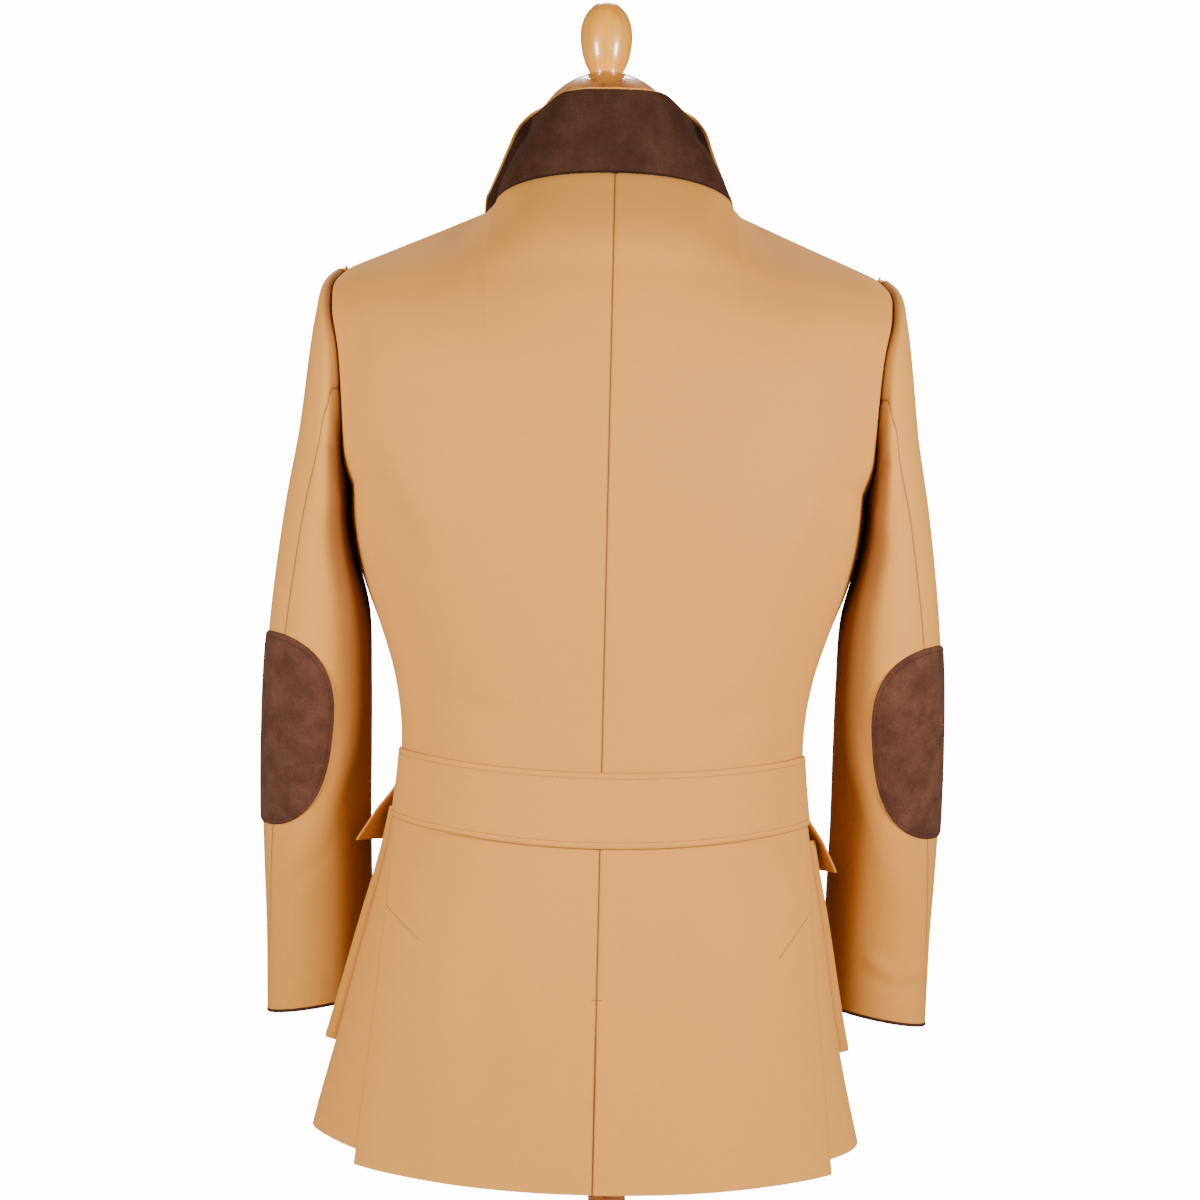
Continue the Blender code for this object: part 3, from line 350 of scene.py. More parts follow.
@dataclass(frozen=True)
class BodyForm:
    """Outer surface of the jacket's body, by height at the side and share of the way to the side."""

    neck_point: tuple[float, float, float] = (0.102, 0.000, 1.0045)
    shoulder_point: tuple[float, float, float] = (0.228, -0.008, SHOULDER_TIP)
    neck_roundness: float = 2.2
    side_fullness: float = 2.3
    underarm_fullness: float = 0.6
    fullness_level: float = 0.775
    fullness_run: float = 0.055
    edge_pull: float = 5.0
    yoke_start: float = 0.850
    yoke_softness: float = 0.9
    yoke_reach: float = 0.4
    yoke_steps: int = 17
    lower: tuple[BodySection, ...] = (
        BodySection(HEM_SIDE, 0.2300, 0.1500, 0.200, -0.1500, 0.213),
        BodySection(0.300, 0.2125, 0.1425, 0.282, -0.1435, 0.291),
        BodySection(0.400, 0.1925, 0.1290, 0.391, -0.1345, 0.395),
        BodySection(0.460, 0.1800, 0.1175, 0.4555, -0.1295, 0.458),
        BodySection(0.505, 0.1735, 0.1095, 0.5045, -0.1270, 0.505),
        BodySection(0.559, 0.1705, 0.1050, 0.559, -0.1270, 0.559),
        BodySection(0.610, 0.1780, 0.1080, 0.610, -0.1310, 0.610),
        BodySection(0.648, 0.1900, 0.1125, 0.648, -0.1350, 0.648),
        BodySection(0.686, 0.2045, 0.1170, 0.686, -0.1390, 0.686),
        BodySection(0.716, 0.2125, 0.1200, 0.716, -0.1410, 0.716),
        BodySection(0.740, 0.2160, 0.1220, 0.740, -0.1425, 0.740),
        BodySection(UNDERARM, 0.2170, 0.1240, 0.765, -0.1430, 0.765),
    )
    back_upper: tuple[ArmholeSection, ...] = (
        ArmholeSection(0.781, 0.790, 0.1255, 0.2205, 0.046, 0.2260),
        ArmholeSection(0.825, 0.835, 0.1270, 0.2220, 0.064, 0.2350),
        ArmholeSection(0.878, 0.885, 0.1255, 0.2270, 0.061, 0.2450),
        ArmholeSection(0.916, 0.940, 0.1150, 0.2350, 0.041, 0.2550),
        ArmholeSection(0.939, 0.985, 0.0965, 0.2345, 0.018, 0.2620),
        ArmholeSection(SHOULDER_TIP, 1.028, 0.0600, 0.2280, -0.008, 0.2650),
    )
    front_upper: tuple[ArmholeSection, ...] = (
        ArmholeSection(0.781, 0.790, -0.1435, 0.2175, -0.047, 0.2230),
        ArmholeSection(0.825, 0.830, -0.1425, 0.2105, -0.062, 0.2280),
        ArmholeSection(0.872, 0.865, -0.1380, 0.2090, -0.064, 0.2320),
        ArmholeSection(0.912, 0.895, -0.1260, 0.2135, -0.054, 0.2400),
        ArmholeSection(0.940, 0.915, -0.1130, 0.2220, -0.034, 0.2500),
        ArmholeSection(SHOULDER_TIP, 0.930, -0.1000, 0.2280, -0.008, 0.2600),
    )
    sway_reach: float = 0.20
    sway_depth: float = 0.08
    sway: float = 0.009

    @property
    def neck_share(self) -> float:
        """Share of the way to the shoulder tip at which the neckline ends."""
        return self.neck_point[0] / self.shoulder_point[0]

    def upper(self, half: Half) -> tuple[ArmholeSection, ...]:
        """Sections of one half above the underarm."""
        return self.back_upper if half is Half.BACK else self.front_upper

    def bow(self, level: float, reach: Grid | float) -> Grid:
        """Share of its depth that a rounded section still has.

        Args:
            level: Height at the side.
            reach: Share of its half width.

        Returns:
            Share of its depth.
        """
        near = math.exp(-((level - self.fullness_level) / self.fullness_run) ** 2)
        fullness = self.side_fullness + self.underarm_fullness * near
        return np.maximum(0.0, 1.0 - reach ** fullness) ** (1.0 / fullness)

    def table(self, half: Half) -> tuple[Grid, Grid]:
        """All sections of one half as one table.

        Args:
            half: Back or front.

        Returns:
            Heights, and rows of centre z, centre y, edge x, pull towards the armhole and whole half width.
        """
        keys = []
        rows = []
        for row in self.lower:
            mid_y = row.back_y if half is Half.BACK else row.front_y
            mid_z = row.back_z if half is Half.BACK else row.front_z
            keys.append(row.level)
            rows.append((mid_z, mid_y, row.half_width, 0.0, row.half_width))
        for row in self.upper(half):
            keys.append(row.level)
            pull = row.edge_y - row.mid_y * self.bow(row.level, row.edge_x / row.wide)
            rows.append((row.mid_z, row.mid_y, row.edge_x, pull, row.wide))
        return np.array(keys), np.array(rows)

    def seam_line(self, half: Half, share: Grid) -> Grid:
        """Neckline, then shoulder seam.

        Args:
            half: Back or front.
            share: Shares from the centre line (0) to the shoulder tip (1).

        Returns:
            Points of the line.
        """
        middle = self.upper(half)[-1]
        neck = self.neck_point
        tip = self.shoulder_point
        reach = np.abs(share)
        drop = np.maximum(0.0, 1.0 - np.minimum(1.0, reach / self.neck_share) ** self.neck_roundness)
        drop = drop ** (1.0 / self.neck_roundness)
        slope = np.clip((reach - self.neck_share) / (1.0 - self.neck_share), 0.0, 1.0)
        y = neck[1] + (middle.mid_y - neck[1]) * drop + (tip[1] - neck[1]) * slope
        z = neck[2] + (middle.mid_z - neck[2]) * drop + (tip[2] - neck[2]) * slope
        return np.stack([share * tip[0], y, z], axis=-1)

    def plain_row(self, half: Half, level: float, share: Grid) -> Grid:
        """One rounded section of the body.

        Args:
            half: Back or front.
            level: Height at the side.
            share: Shares of the way from the centre line to the edge.

        Returns:
            Points of the section.
        """
        mid_z, mid_y, edge_x, pull, wide = read_rows(*self.table(half), level)[0]
        reach = np.abs(share)
        y = mid_y * self.bow(level, reach * min(edge_x / wide, 1.0)) + pull * reach ** self.edge_pull
        z = mid_z + (level - mid_z) * reach ** 2
        return np.stack([edge_x * share, y, z], axis=-1)

    def yoke_shift(self, half: Half, share: Grid, soft: float) -> Grid:
        """How far the top section moves to reach the seam line.

        Args:
            half: Back or front.
            share: Shares of the way from the centre line to the edge.
            soft: Share by which the neck corner is softened.

        Returns:
            Vectors to add.
        """
        shift = np.zeros(share.shape + (3,))
        for step in np.linspace(-self.yoke_reach, self.yoke_reach, self.yoke_steps):
            near = np.clip(np.abs(share) + soft * step, 0.0, 1.0)
            shift = shift + self.seam_line(half, near) - self.plain_row(half, SHOULDER_TIP, near)
        shift = shift / self.yoke_steps
        shift[..., 0] = 0.0
        return shift * (1.0 - soft * np.abs(share)[..., None] ** self.edge_pull)

    def row(self, half: Half, level: float, share: Grid) -> Grid:
        """One section of the outer surface.

        Args:
            half: Back or front.
            level: Height at the side.
            share: Shares of the way from the centre line to the edge.

        Returns:
            Points of the section.
        """
        points = self.plain_row(half, level, share)
        rise = max(0.0, (level - self.yoke_start) / (SHOULDER_TIP - self.yoke_start))
        if rise > 0.0:
            soft = self.yoke_softness * math.sqrt(max(0.0, 1.0 - rise))
            points = points + rise ** 2 * self.yoke_shift(half, share, soft)
        return points

    def sheet(self, half: Half, levels: Grid, shares: Grid) -> Sheet:
        """Stretch of the outer surface.

        Args:
            half: Back or front.
            levels: Heights of the rows.
            shares: One list of shares, or one for each row.

        Returns:
            The sheet, facing outwards.
        """
        if shares.ndim == 1:
            shares = np.tile(shares, (len(levels), 1))
        grid = np.array([self.row(half, level, row) for level, row in zip(levels, shares)])
        normals = unit(np.cross(np.gradient(grid, axis=0), np.gradient(grid, axis=1)))
        outside = grid * np.array([1.0, 1.0, 0.0])
        if np.sum(normals * outside) < 0.0:
            normals = -normals
        return Sheet(grid, normals)

    def swayed(self, sheet: Sheet, side: Side) -> Sheet:
        """Swing the hanging skirt's sides a little towards +X.

        Args:
            sheet: A sheet of the left side.
            side: The side that it will be built on.

        Returns:
            The swung sheet.
        """
        points = sheet.points.copy()
        drop = smooth((BODICE_FOOT - points[..., 2]) / (BODICE_FOOT - HEM_SIDE))
        flank = np.minimum(1.0, np.abs(points[..., 0]) / self.sway_reach) ** 2
        flank = flank * smooth(1.0 - points[..., 1] / self.sway_depth)
        points[..., 0] += side.value * self.sway * drop * flank
        return Sheet(points, sheet.normals, sheet.wrap, sheet.shade)

    def armhole_levels(self, count: int) -> Grid:
        """Heights of the rows that end on the armhole, from the underarm to the shoulder tip."""
        turn = np.linspace(math.pi, 0.0, count)
        return UNDERARM + (SHOULDER_TIP - UNDERARM) * (1.0 + np.cos(turn)) / 2.0


class SleeveSection(NamedTuple):
    """Section of the sleeve: outermost and innermost points, middle, half depth and turn of the seam."""

    outer_x: float
    outer_z: float
    inner_x: float
    inner_z: float
    mid_y: float
    half_depth: float
    seam_turn: float


@dataclass(frozen=True)
class SleeveForm:
    """Outer surface of a sleeve, by section number and degrees round it."""

    sections: tuple[SleeveSection, ...] = (
        SleeveSection(0.2284, 0.951, 0.2176, 0.7650, 0.000, 0.0640, 0),
        SleeveSection(0.2410, 0.945, 0.2179, 0.7600, 0.001, 0.0700, -2.5),
        SleeveSection(0.2480, 0.920, 0.2177, 0.7520, 0.001, 0.0735, -4),
        SleeveSection(0.2545, 0.878, 0.2170, 0.7380, 0.000, 0.0755, -13.5),
        SleeveSection(0.2620, 0.817, 0.2152, 0.7220, -0.002, 0.0760, -20.5),
        SleeveSection(0.2730, 0.752, 0.2104, 0.7000, -0.004, 0.0745, -29),
        SleeveSection(0.2825, 0.680, 0.2005, 0.6600, -0.008, 0.0715, -39),
        SleeveSection(0.2885, 0.615, 0.1985, 0.6050, -0.016, 0.0680, -45),
        SleeveSection(0.2915, 0.550, 0.1985, 0.5480, -0.031, 0.0645, -49),
        SleeveSection(0.2940, 0.490, 0.2000, 0.4920, -0.058, 0.0610, -54),
        SleeveSection(0.2940, 0.438, 0.2000, 0.4410, -0.077, 0.0585, -63),
        SleeveSection(0.2930, 0.380, 0.2000, 0.3890, -0.095, 0.0555, -73),
        SleeveSection(0.2930, 0.305, 0.2010, 0.3220, -0.113, 0.0520, -84),
    )
    around: int = 120
    rows_per_section: int = 13
    back_seam: int = 27
    front_seam: int = 99
    armhole_blend: tuple[float, ...] = (1.0, 0.55, 0.25, 0.08, 0.0)
    metres_per_degree: float = 0.00090
    metres_per_section: float = 0.062

    def points(self, sections: Grid, degrees: Grid) -> Grid:
        """Points of the plain sleeve tube.

        Args:
            sections: Section numbers.
            degrees: Degrees round the sleeve, 0 being outermost.

        Returns:
            The points.
        """
        columns = np.array(self.sections)
        read = read_rows(np.arange(len(columns)), columns, np.ravel(sections)).T
        outer_x, outer_z, inner_x, inner_z, mid_y, half_depth, _ = read
        turn = np.radians(np.ravel(degrees))
        out = (1.0 + np.cos(turn)) / 2.0
        made = np.stack([inner_x + (outer_x - inner_x) * out,
                         mid_y + half_depth * np.sin(turn),
                         inner_z + (outer_z - inner_z) * out], axis=-1)
        return made.reshape(np.shape(sections) + (3,))

    def seam_turn(self, sections: Grid) -> Grid:
        """Degrees by which the back seam has turned towards the outside, by section number."""
        table = np.array(self.sections)
        return read_rows(np.arange(len(table)), table[:, -1:], sections)[:, 0]

    def tube(self, loop: Grid, sections: Grid) -> tuple[Sheet, Grid]:
        """Whole sleeve from the armhole to the cuff.

        Args:
            loop: Armhole points, one for each column.
            sections: Section number of each row.

        Returns:
            The closed sheet, and the degrees of each point.
        """
        step = 360.0 / self.around
        degrees = 180.0 - step * np.arange(self.around)[None, :] + self.seam_turn(sections)[:, None]
        grid = self.points(np.repeat(sections[:, None], self.around, axis=1), degrees)
        share = np.interp(sections, np.arange(len(self.armhole_blend)), self.armhole_blend)
        grid = grid + (loop - grid[0])[None] * share[:, None, None]
        round_step = np.roll(grid, -1, axis=1) - np.roll(grid, 1, axis=1)
        normals = unit(np.cross(round_step, np.gradient(grid, axis=0)))
        middle = grid.mean(axis=1, keepdims=True)
        if np.sum(normals * (grid - middle)) < 0.0:
            normals = -normals
        return Sheet(grid, normals, wrap=True), degrees


class Graph:
    """Small helper that adds and joins nodes of one tree."""

    def __init__(self, tree: bpy.types.NodeTree) -> None:
        """Keep the tree."""
        self.tree = tree

    def add(self, kind: str, inputs: dict[str | int, object] | None = None,
            **settings: object) -> bpy.types.Node:
        """Add one node.

        Args:
            kind: Type of the node.
            inputs: Values or sockets for its inputs, by name or number.
            settings: Properties of the node.

        Returns:
            The node.
        """
        node = self.tree.nodes.new(kind)
        for name, value in settings.items():
            setattr(node, name, value)
        for key, value in (inputs or {}).items():
            if isinstance(value, bpy.types.NodeSocket):
                self.tree.links.new(value, node.inputs[key])
            else:
                node.inputs[key].default_value = value
        return node


def new_material(name: str) -> tuple[bpy.types.Material, Graph, bpy.types.Node]:
    """Start a material with an empty Principled surface.

    Args:
        name: Name of the material.

    Returns:
        The material, its graph and its surface node.
    """
    made = bpy.data.materials.new(name)
    made.use_nodes = True
    return made, Graph(made.node_tree), made.node_tree.nodes["Principled BSDF"]


def blended(graph: Graph, share: bpy.types.NodeSocket, low: Color, high: Color) -> bpy.types.NodeSocket:
    """Blend two colours by a share."""
    mix = graph.add("ShaderNodeMix", {0: share, 6: (*low, 1.0), 7: (*high, 1.0)}, data_type="RGBA")
    return mix.outputs[2]


@dataclass(frozen=True)
class ClothFinish:
    """Brushed woven cloth with faint slubs, and painted shade, darker lines and patches, where its seam_shade
    attribute says so.
    """

    name: str
    color: Color
    dark: Color
    # Colour of the painted shade
    seam: Color
    roughness: float = 0.86
    thread_pitch: float = 0.0011
    weave_bump: float = 0.10
    cloud_size: float = 0.16
    cloud_share: float = 0.45
    thread_stretch: float = 0.12
    slub_share: float = 0.5
    slub_middle: float = -0.22
    weave_depth: float = 0.0004
    gloss: float = 0.18
    sheen: float = 0.04
    sheen_roughness: float = 0.5

    def build(self) -> bpy.types.Material:
        """Make the material.

        Returns:
            The material.
        """
        made, graph, surface = new_material(self.name)
        place = graph.add("ShaderNodeTexCoord").outputs["Object"]
        cloud = graph.add("ShaderNodeTexNoise", {"Vector": place, "Scale": 1.0 / self.cloud_size,
                                                 "Detail": 3.0})
        flat = graph.add("ShaderNodeUVMap", uv_map="cloth").outputs["UV"]
        warp = graph.add("ShaderNodeMapping", {"Vector": flat, "Scale": (1.0, self.thread_stretch, 1.0)})
        weft = graph.add("ShaderNodeMapping", {"Vector": flat, "Scale": (self.thread_stretch, 1.0, 1.0)})
        threads = []
        for run in (warp, weft):
            noise = graph.add("ShaderNodeTexNoise", {"Vector": run.outputs[0], "Detail": 1.5,
                                                     "Scale": 1.0 / self.thread_pitch})
            threads.append(noise.outputs["Fac"])
        slub = graph.add("ShaderNodeMath", {0: threads[0], 1: threads[1]}, operation="ADD")
        lift = graph.add("ShaderNodeMath", {0: cloud.outputs["Fac"], 1: self.cloud_share},
                         operation="MULTIPLY")
        fine = graph.add("ShaderNodeMath", {0: slub.outputs[0], 1: self.slub_share, 2: self.slub_middle},
                         operation="MULTIPLY_ADD")
        share = graph.add("ShaderNodeMath", {0: lift.outputs[0], 1: fine.outputs[0]}, operation="ADD")
        tone = blended(graph, share.outputs[0], self.color, self.dark)
        # Painted shade: the tone blends towards the shade colour by the seam_shade attribute
        shade = graph.add("ShaderNodeAttribute", attribute_name="seam_shade").outputs["Fac"]
        final = graph.add("ShaderNodeMix", {0: shade, 6: tone, 7: (*self.seam, 1.0)}, data_type="RGBA")
        bump = graph.add("ShaderNodeBump", {"Height": slub.outputs[0], "Strength": self.weave_bump,
                                            "Distance": self.weave_depth})
        graph.tree.links.new(final.outputs[2], surface.inputs["Base Color"])
        graph.tree.links.new(bump.outputs[0], surface.inputs["Normal"])
        surface.inputs["Roughness"].default_value = self.roughness
        surface.inputs["Specular IOR Level"].default_value = self.gloss
        surface.inputs["Sheen Weight"].default_value = self.sheen
        surface.inputs["Sheen Roughness"].default_value = self.sheen_roughness
        return made


@dataclass(frozen=True)
class SuedeFinish:
    """Napped suede with soft darker and lighter marks."""

    name: str
    color: Color
    dark: Color
    light: Color
    # Colour of the painted shade
    seam: Color
    mark_size: float = 0.022
    mark_ends: tuple[float, float, float] = (0.36, 0.50, 0.66)
    nap_size: float = 0.0016
    nap_share: float = 0.35
    nap_bump: float = 0.25
    nap_depth: float = 0.0006
    roughness: float = 0.95
    gloss: float = 0.10
    sheen: float = 0.02
    sheen_roughness: float = 0.6

    def build(self) -> bpy.types.Material:
        """Make the material.

        Returns:
            The material.
        """
        made, graph, surface = new_material(self.name)
        place = graph.add("ShaderNodeTexCoord").outputs["Object"]
        mark = graph.add("ShaderNodeTexNoise", {"Vector": place, "Scale": 1.0 / self.mark_size, "Detail": 4.0,
                                                "Roughness": 0.6})
        nap = graph.add("ShaderNodeTexNoise", {"Vector": place, "Scale": 1.0 / self.nap_size, "Detail": 2.0})
        ramp = graph.add("ShaderNodeValToRGB", {"Fac": mark.outputs["Fac"]})
        ramp.color_ramp.elements[0].position = self.mark_ends[0]
        ramp.color_ramp.elements[0].color = (*self.dark, 1.0)
        ramp.color_ramp.elements[1].position = self.mark_ends[2]
        ramp.color_ramp.elements[1].color = (*self.light, 1.0)
        middle = ramp.color_ramp.elements.new(self.mark_ends[1])
        middle.color = (*self.color, 1.0)
        grain = graph.add("ShaderNodeMix", {0: self.nap_share, 6: ramp.outputs["Color"],
                                            7: nap.outputs["Fac"]},
                          data_type="RGBA", blend_type="OVERLAY")
        # Painted shade: the tone blends towards the shade colour by the seam_shade attribute
        shade = graph.add("ShaderNodeAttribute", attribute_name="seam_shade").outputs["Fac"]
        final = graph.add("ShaderNodeMix", {0: shade, 6: grain.outputs[2], 7: (*self.seam, 1.0)},
                          data_type="RGBA")
        bump = graph.add("ShaderNodeBump", {"Height": nap.outputs["Fac"], "Strength": self.nap_bump,
                                            "Distance": self.nap_depth})
        graph.tree.links.new(final.outputs[2], surface.inputs["Base Color"])
        graph.tree.links.new(bump.outputs[0], surface.inputs["Normal"])
        surface.inputs["Roughness"].default_value = self.roughness
        surface.inputs["Specular IOR Level"].default_value = self.gloss
        surface.inputs["Sheen Weight"].default_value = self.sheen
        surface.inputs["Sheen Roughness"].default_value = self.sheen_roughness
        return made


@dataclass(frozen=True)
class WoodFinish:
    """Turned, varnished wood with grain along its upright axis."""

    name: str
    color: Color
    dark: Color
    roughness: float
    coat: float
    grain_size: float = 0.004
    grain_stretch: float = 0.10
    grain_ends: tuple[float, float] = (0.32, 0.62)
    coat_roughness: float = 0.06

    def build(self) -> bpy.types.Material:
        """Make the material.

        Returns:
            The material.
        """
        made, graph, surface = new_material(self.name)
        place = graph.add("ShaderNodeTexCoord").outputs["Object"]
        along = graph.add("ShaderNodeMapping", {"Vector": place, "Scale": (1.0, 1.0, self.grain_stretch)})
        grain = graph.add("ShaderNodeTexNoise", {"Vector": along.outputs[0], "Scale": 1.0 / self.grain_size,
                                                 "Detail": 4.0, "Roughness": 0.55})
        ramp = graph.add("ShaderNodeValToRGB", {"Fac": grain.outputs["Fac"]})
        ramp.color_ramp.elements[0].position = self.grain_ends[0]
        ramp.color_ramp.elements[0].color = (*self.dark, 1.0)
        ramp.color_ramp.elements[1].position = self.grain_ends[1]
        ramp.color_ramp.elements[1].color = (*self.color, 1.0)
        graph.tree.links.new(ramp.outputs["Color"], surface.inputs["Base Color"])
        surface.inputs["Roughness"].default_value = self.roughness
        surface.inputs["Coat Weight"].default_value = self.coat
        surface.inputs["Coat Roughness"].default_value = self.coat_roughness
        return made


@dataclass(frozen=True)
class PlainFinish:
    """Even finish for thread, horn and the studio floor."""

    name: str
    color: Color
    roughness: float

    def build(self) -> bpy.types.Material:
        """Make the material.

        Returns:
            The material.
        """
        made, _, surface = new_material(self.name)
        surface.inputs["Base Color"].default_value = (*self.color, 1.0)
        surface.inputs["Roughness"].default_value = self.roughness
        return made


@dataclass
class Finishes:
    """All materials of the scene, built once."""

    # The last colour of each cloth is the colour of its painted shade
    cotton: bpy.types.Material = field(default_factory=lambda: ClothFinish(
        "tan_cotton", (0.66, 0.298, 0.056), (0.585, 0.248, 0.042), (0.17, 0.060, 0.016)).build())
    # Collar and patches share one suede in two brightnesses: the collar's darker copy, also on the cuff
    # bindings, is painted shade
    collar_suede: bpy.types.Material = field(default_factory=lambda: SuedeFinish(
        "collar_suede", (0.044, 0.0165, 0.0098), (0.035, 0.0130, 0.0076), (0.055, 0.0215, 0.0130),
        (0.016, 0.006, 0.003)).build())
    patch_suede: bpy.types.Material = field(default_factory=lambda: SuedeFinish(
        "patch_suede", (0.082, 0.0315, 0.0195), (0.063, 0.0235, 0.0142), (0.104, 0.0415, 0.0262),
        (0.022, 0.008, 0.005)).build())
    linen: bpy.types.Material = field(default_factory=lambda: ClothFinish(
        "form_linen", (0.70, 0.62, 0.50), (0.60, 0.52, 0.41), (0.35, 0.28, 0.2), weave_bump=0.2).build())
    varnished: bpy.types.Material = field(default_factory=lambda: WoodFinish(
        "varnished_wood", (0.92, 0.40, 0.045), (0.80, 0.31, 0.030), 0.30, 0.8).build())
    stand: bpy.types.Material = field(default_factory=lambda: WoodFinish(
        "stand_wood", (0.72, 0.26, 0.048), (0.48, 0.15, 0.026), 0.38, 0.5, grain_size=0.006).build())
    horn: bpy.types.Material = field(default_factory=lambda: PlainFinish(
        "horn_button", (0.085, 0.045, 0.025), 0.32).build())
    tan_thread: bpy.types.Material = field(default_factory=lambda: PlainFinish(
        "tan_thread", (0.24, 0.115, 0.038), 0.7).build())
    brown_thread: bpy.types.Material = field(default_factory=lambda: PlainFinish(
        "brown_thread", (0.035, 0.016, 0.011), 0.7).build())


def shell_faces(rows: int, columns: int, wrap: bool) -> Grid:
    """Faces of a closed wall between an outer and an inner grid.

    Args:
        rows: Rows of each grid.
        columns: Columns of each grid.
        wrap: Whether the last column joins the first.

    Returns:
        Quads as rows of point numbers.
    """
    half = rows * columns
    steps = columns if wrap else columns - 1
    r, c = np.meshgrid(np.arange(rows - 1), np.arange(steps), indexing="ij")
    low = (r * columns + c).ravel()
    low_next = (r * columns + (c + 1) % columns).ravel()
    outer = np.stack([low, low_next, low_next + columns, low + columns], axis=1)
    parts = [outer, outer[:, ::-1] + half]
    c = np.arange(steps)
    after = (c + 1) % columns
    parts.append(np.stack([c, c + half, after + half, after], axis=1))
    top = half - columns
    parts.append(np.stack([top + c, top + after, top + after + half, top + c + half], axis=1))
    if not wrap:
        r = np.arange(rows - 1) * columns
        parts.append(np.stack([r, r + columns, r + columns + half, r + half], axis=1))
        r = r + columns - 1
        parts.append(np.stack([r, r + half, r + columns + half, r + columns], axis=1))
    return np.concatenate(parts)


@dataclass
class Workshop:
    """Turns sheets and solids into pieces that ride on the frame."""

    finishes: Finishes
    lean: Lean = field(default_factory=Lean)

    def add_mesh(self, name: str, points: Grid, faces: Sequence[Sequence[int]],
                 finish: bpy.types.Material) -> bpy.types.Object:
        """Add a smooth mesh object at the origin.

        Args:
            name: Name of the object.
            points: Points in the world.
            faces: Faces as point numbers.
            finish: Material of the object.

        Returns:
            The object.
        """
        mesh = bpy.data.meshes.new(name)
        mesh.from_pydata(np.asarray(points).tolist(), [], [list(map(int, face)) for face in faces])
        mesh.materials.append(finish)
        mesh.shade_smooth()
        made = bpy.data.objects.new(name, mesh)
        bpy.context.scene.collection.objects.link(made)
        return made

    def add_shell(self, name: str, sheet: Sheet, thick: float, finish: bpy.types.Material,
                  inner: Grid | None = None) -> bpy.types.Object:
        """Add a thin closed wall from a sheet.

        Args:
            name: Name of the object.
            sheet: Outer face of the wall, already on its own side.
            thick: Thickness of the wall.
            finish: Material of the wall.
            inner: Points of the inner face, where it isn't the sheet moved in.

        Returns:
            The object.
        """
        if inner is None:
            inner = sheet.points - sheet.normals * thick
        rows, columns = sheet.points.shape[:2]
        points = np.concatenate([sheet.points.reshape(-1, 3), inner.reshape(-1, 3)])
        faces = shell_faces(rows, columns, sheet.wrap)
        row, column = rows // 2, columns // 2
        right = sheet.points[row, (column + 1) % columns] - sheet.points[row, column]
        up = sheet.points[min(row + 1, rows - 1), column] - sheet.points[max(row - 1, 0), column]
        if np.dot(np.cross(right, up), sheet.normals[row, column]) < 0.0:
            faces = faces[:, ::-1]
        made = self.add_mesh(name, self.lean.place(points), faces, finish)
        across = sheet.edge_distance(Edge.FIRST)
        along = sheet.edge_distance(Edge.FOOT)
        flat = np.tile(np.stack([across, along], axis=-1).reshape(-1, 2), (2, 1))
        layer = made.data.uv_layers.new(name="cloth")
        corner = np.zeros(len(made.data.loops), dtype=np.int32)
        made.data.loops.foreach_get("vertex_index", corner)
        layer.data.foreach_set("uv", flat[corner].ravel())
        # Painted shade of each point, which the cloth materials read
        shade = made.data.attributes.new("seam_shade", "FLOAT", "POINT")
        shade.data.foreach_set("value", np.tile(sheet.shade.ravel(), 2).astype(np.float32))
        return made

    def fit(self, piece: bpy.types.Object, slot: Slot, *nodes: str) -> None:
        """Let a piece ride on the frame in place of its nodes.

        Args:
            piece: The piece.
            slot: Material slot; not used.
            nodes: Nodes that it stands for.
        """
        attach(piece, BODY)
        if nodes:
            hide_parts(*nodes)
        LOG.info("%s: %d faces", piece.name, len(piece.data.polygons))

    def declare(self, piece: bpy.types.Object, sheet: Sheet, rests_on: Sequence[str], held: str = "hung",
                trim: Sequence[bpy.types.Object] = ()) -> None:
        """Do nothing with a piece of cloth: nothing is stated.

        Args:
            piece: The piece; not used.
            sheet: Its outer face; not used.
            rests_on: What it lies on or hangs from; not used.
            held: How it is held; not used.
            trim: Separate pieces on it, such as a bound edge; not used.
        """


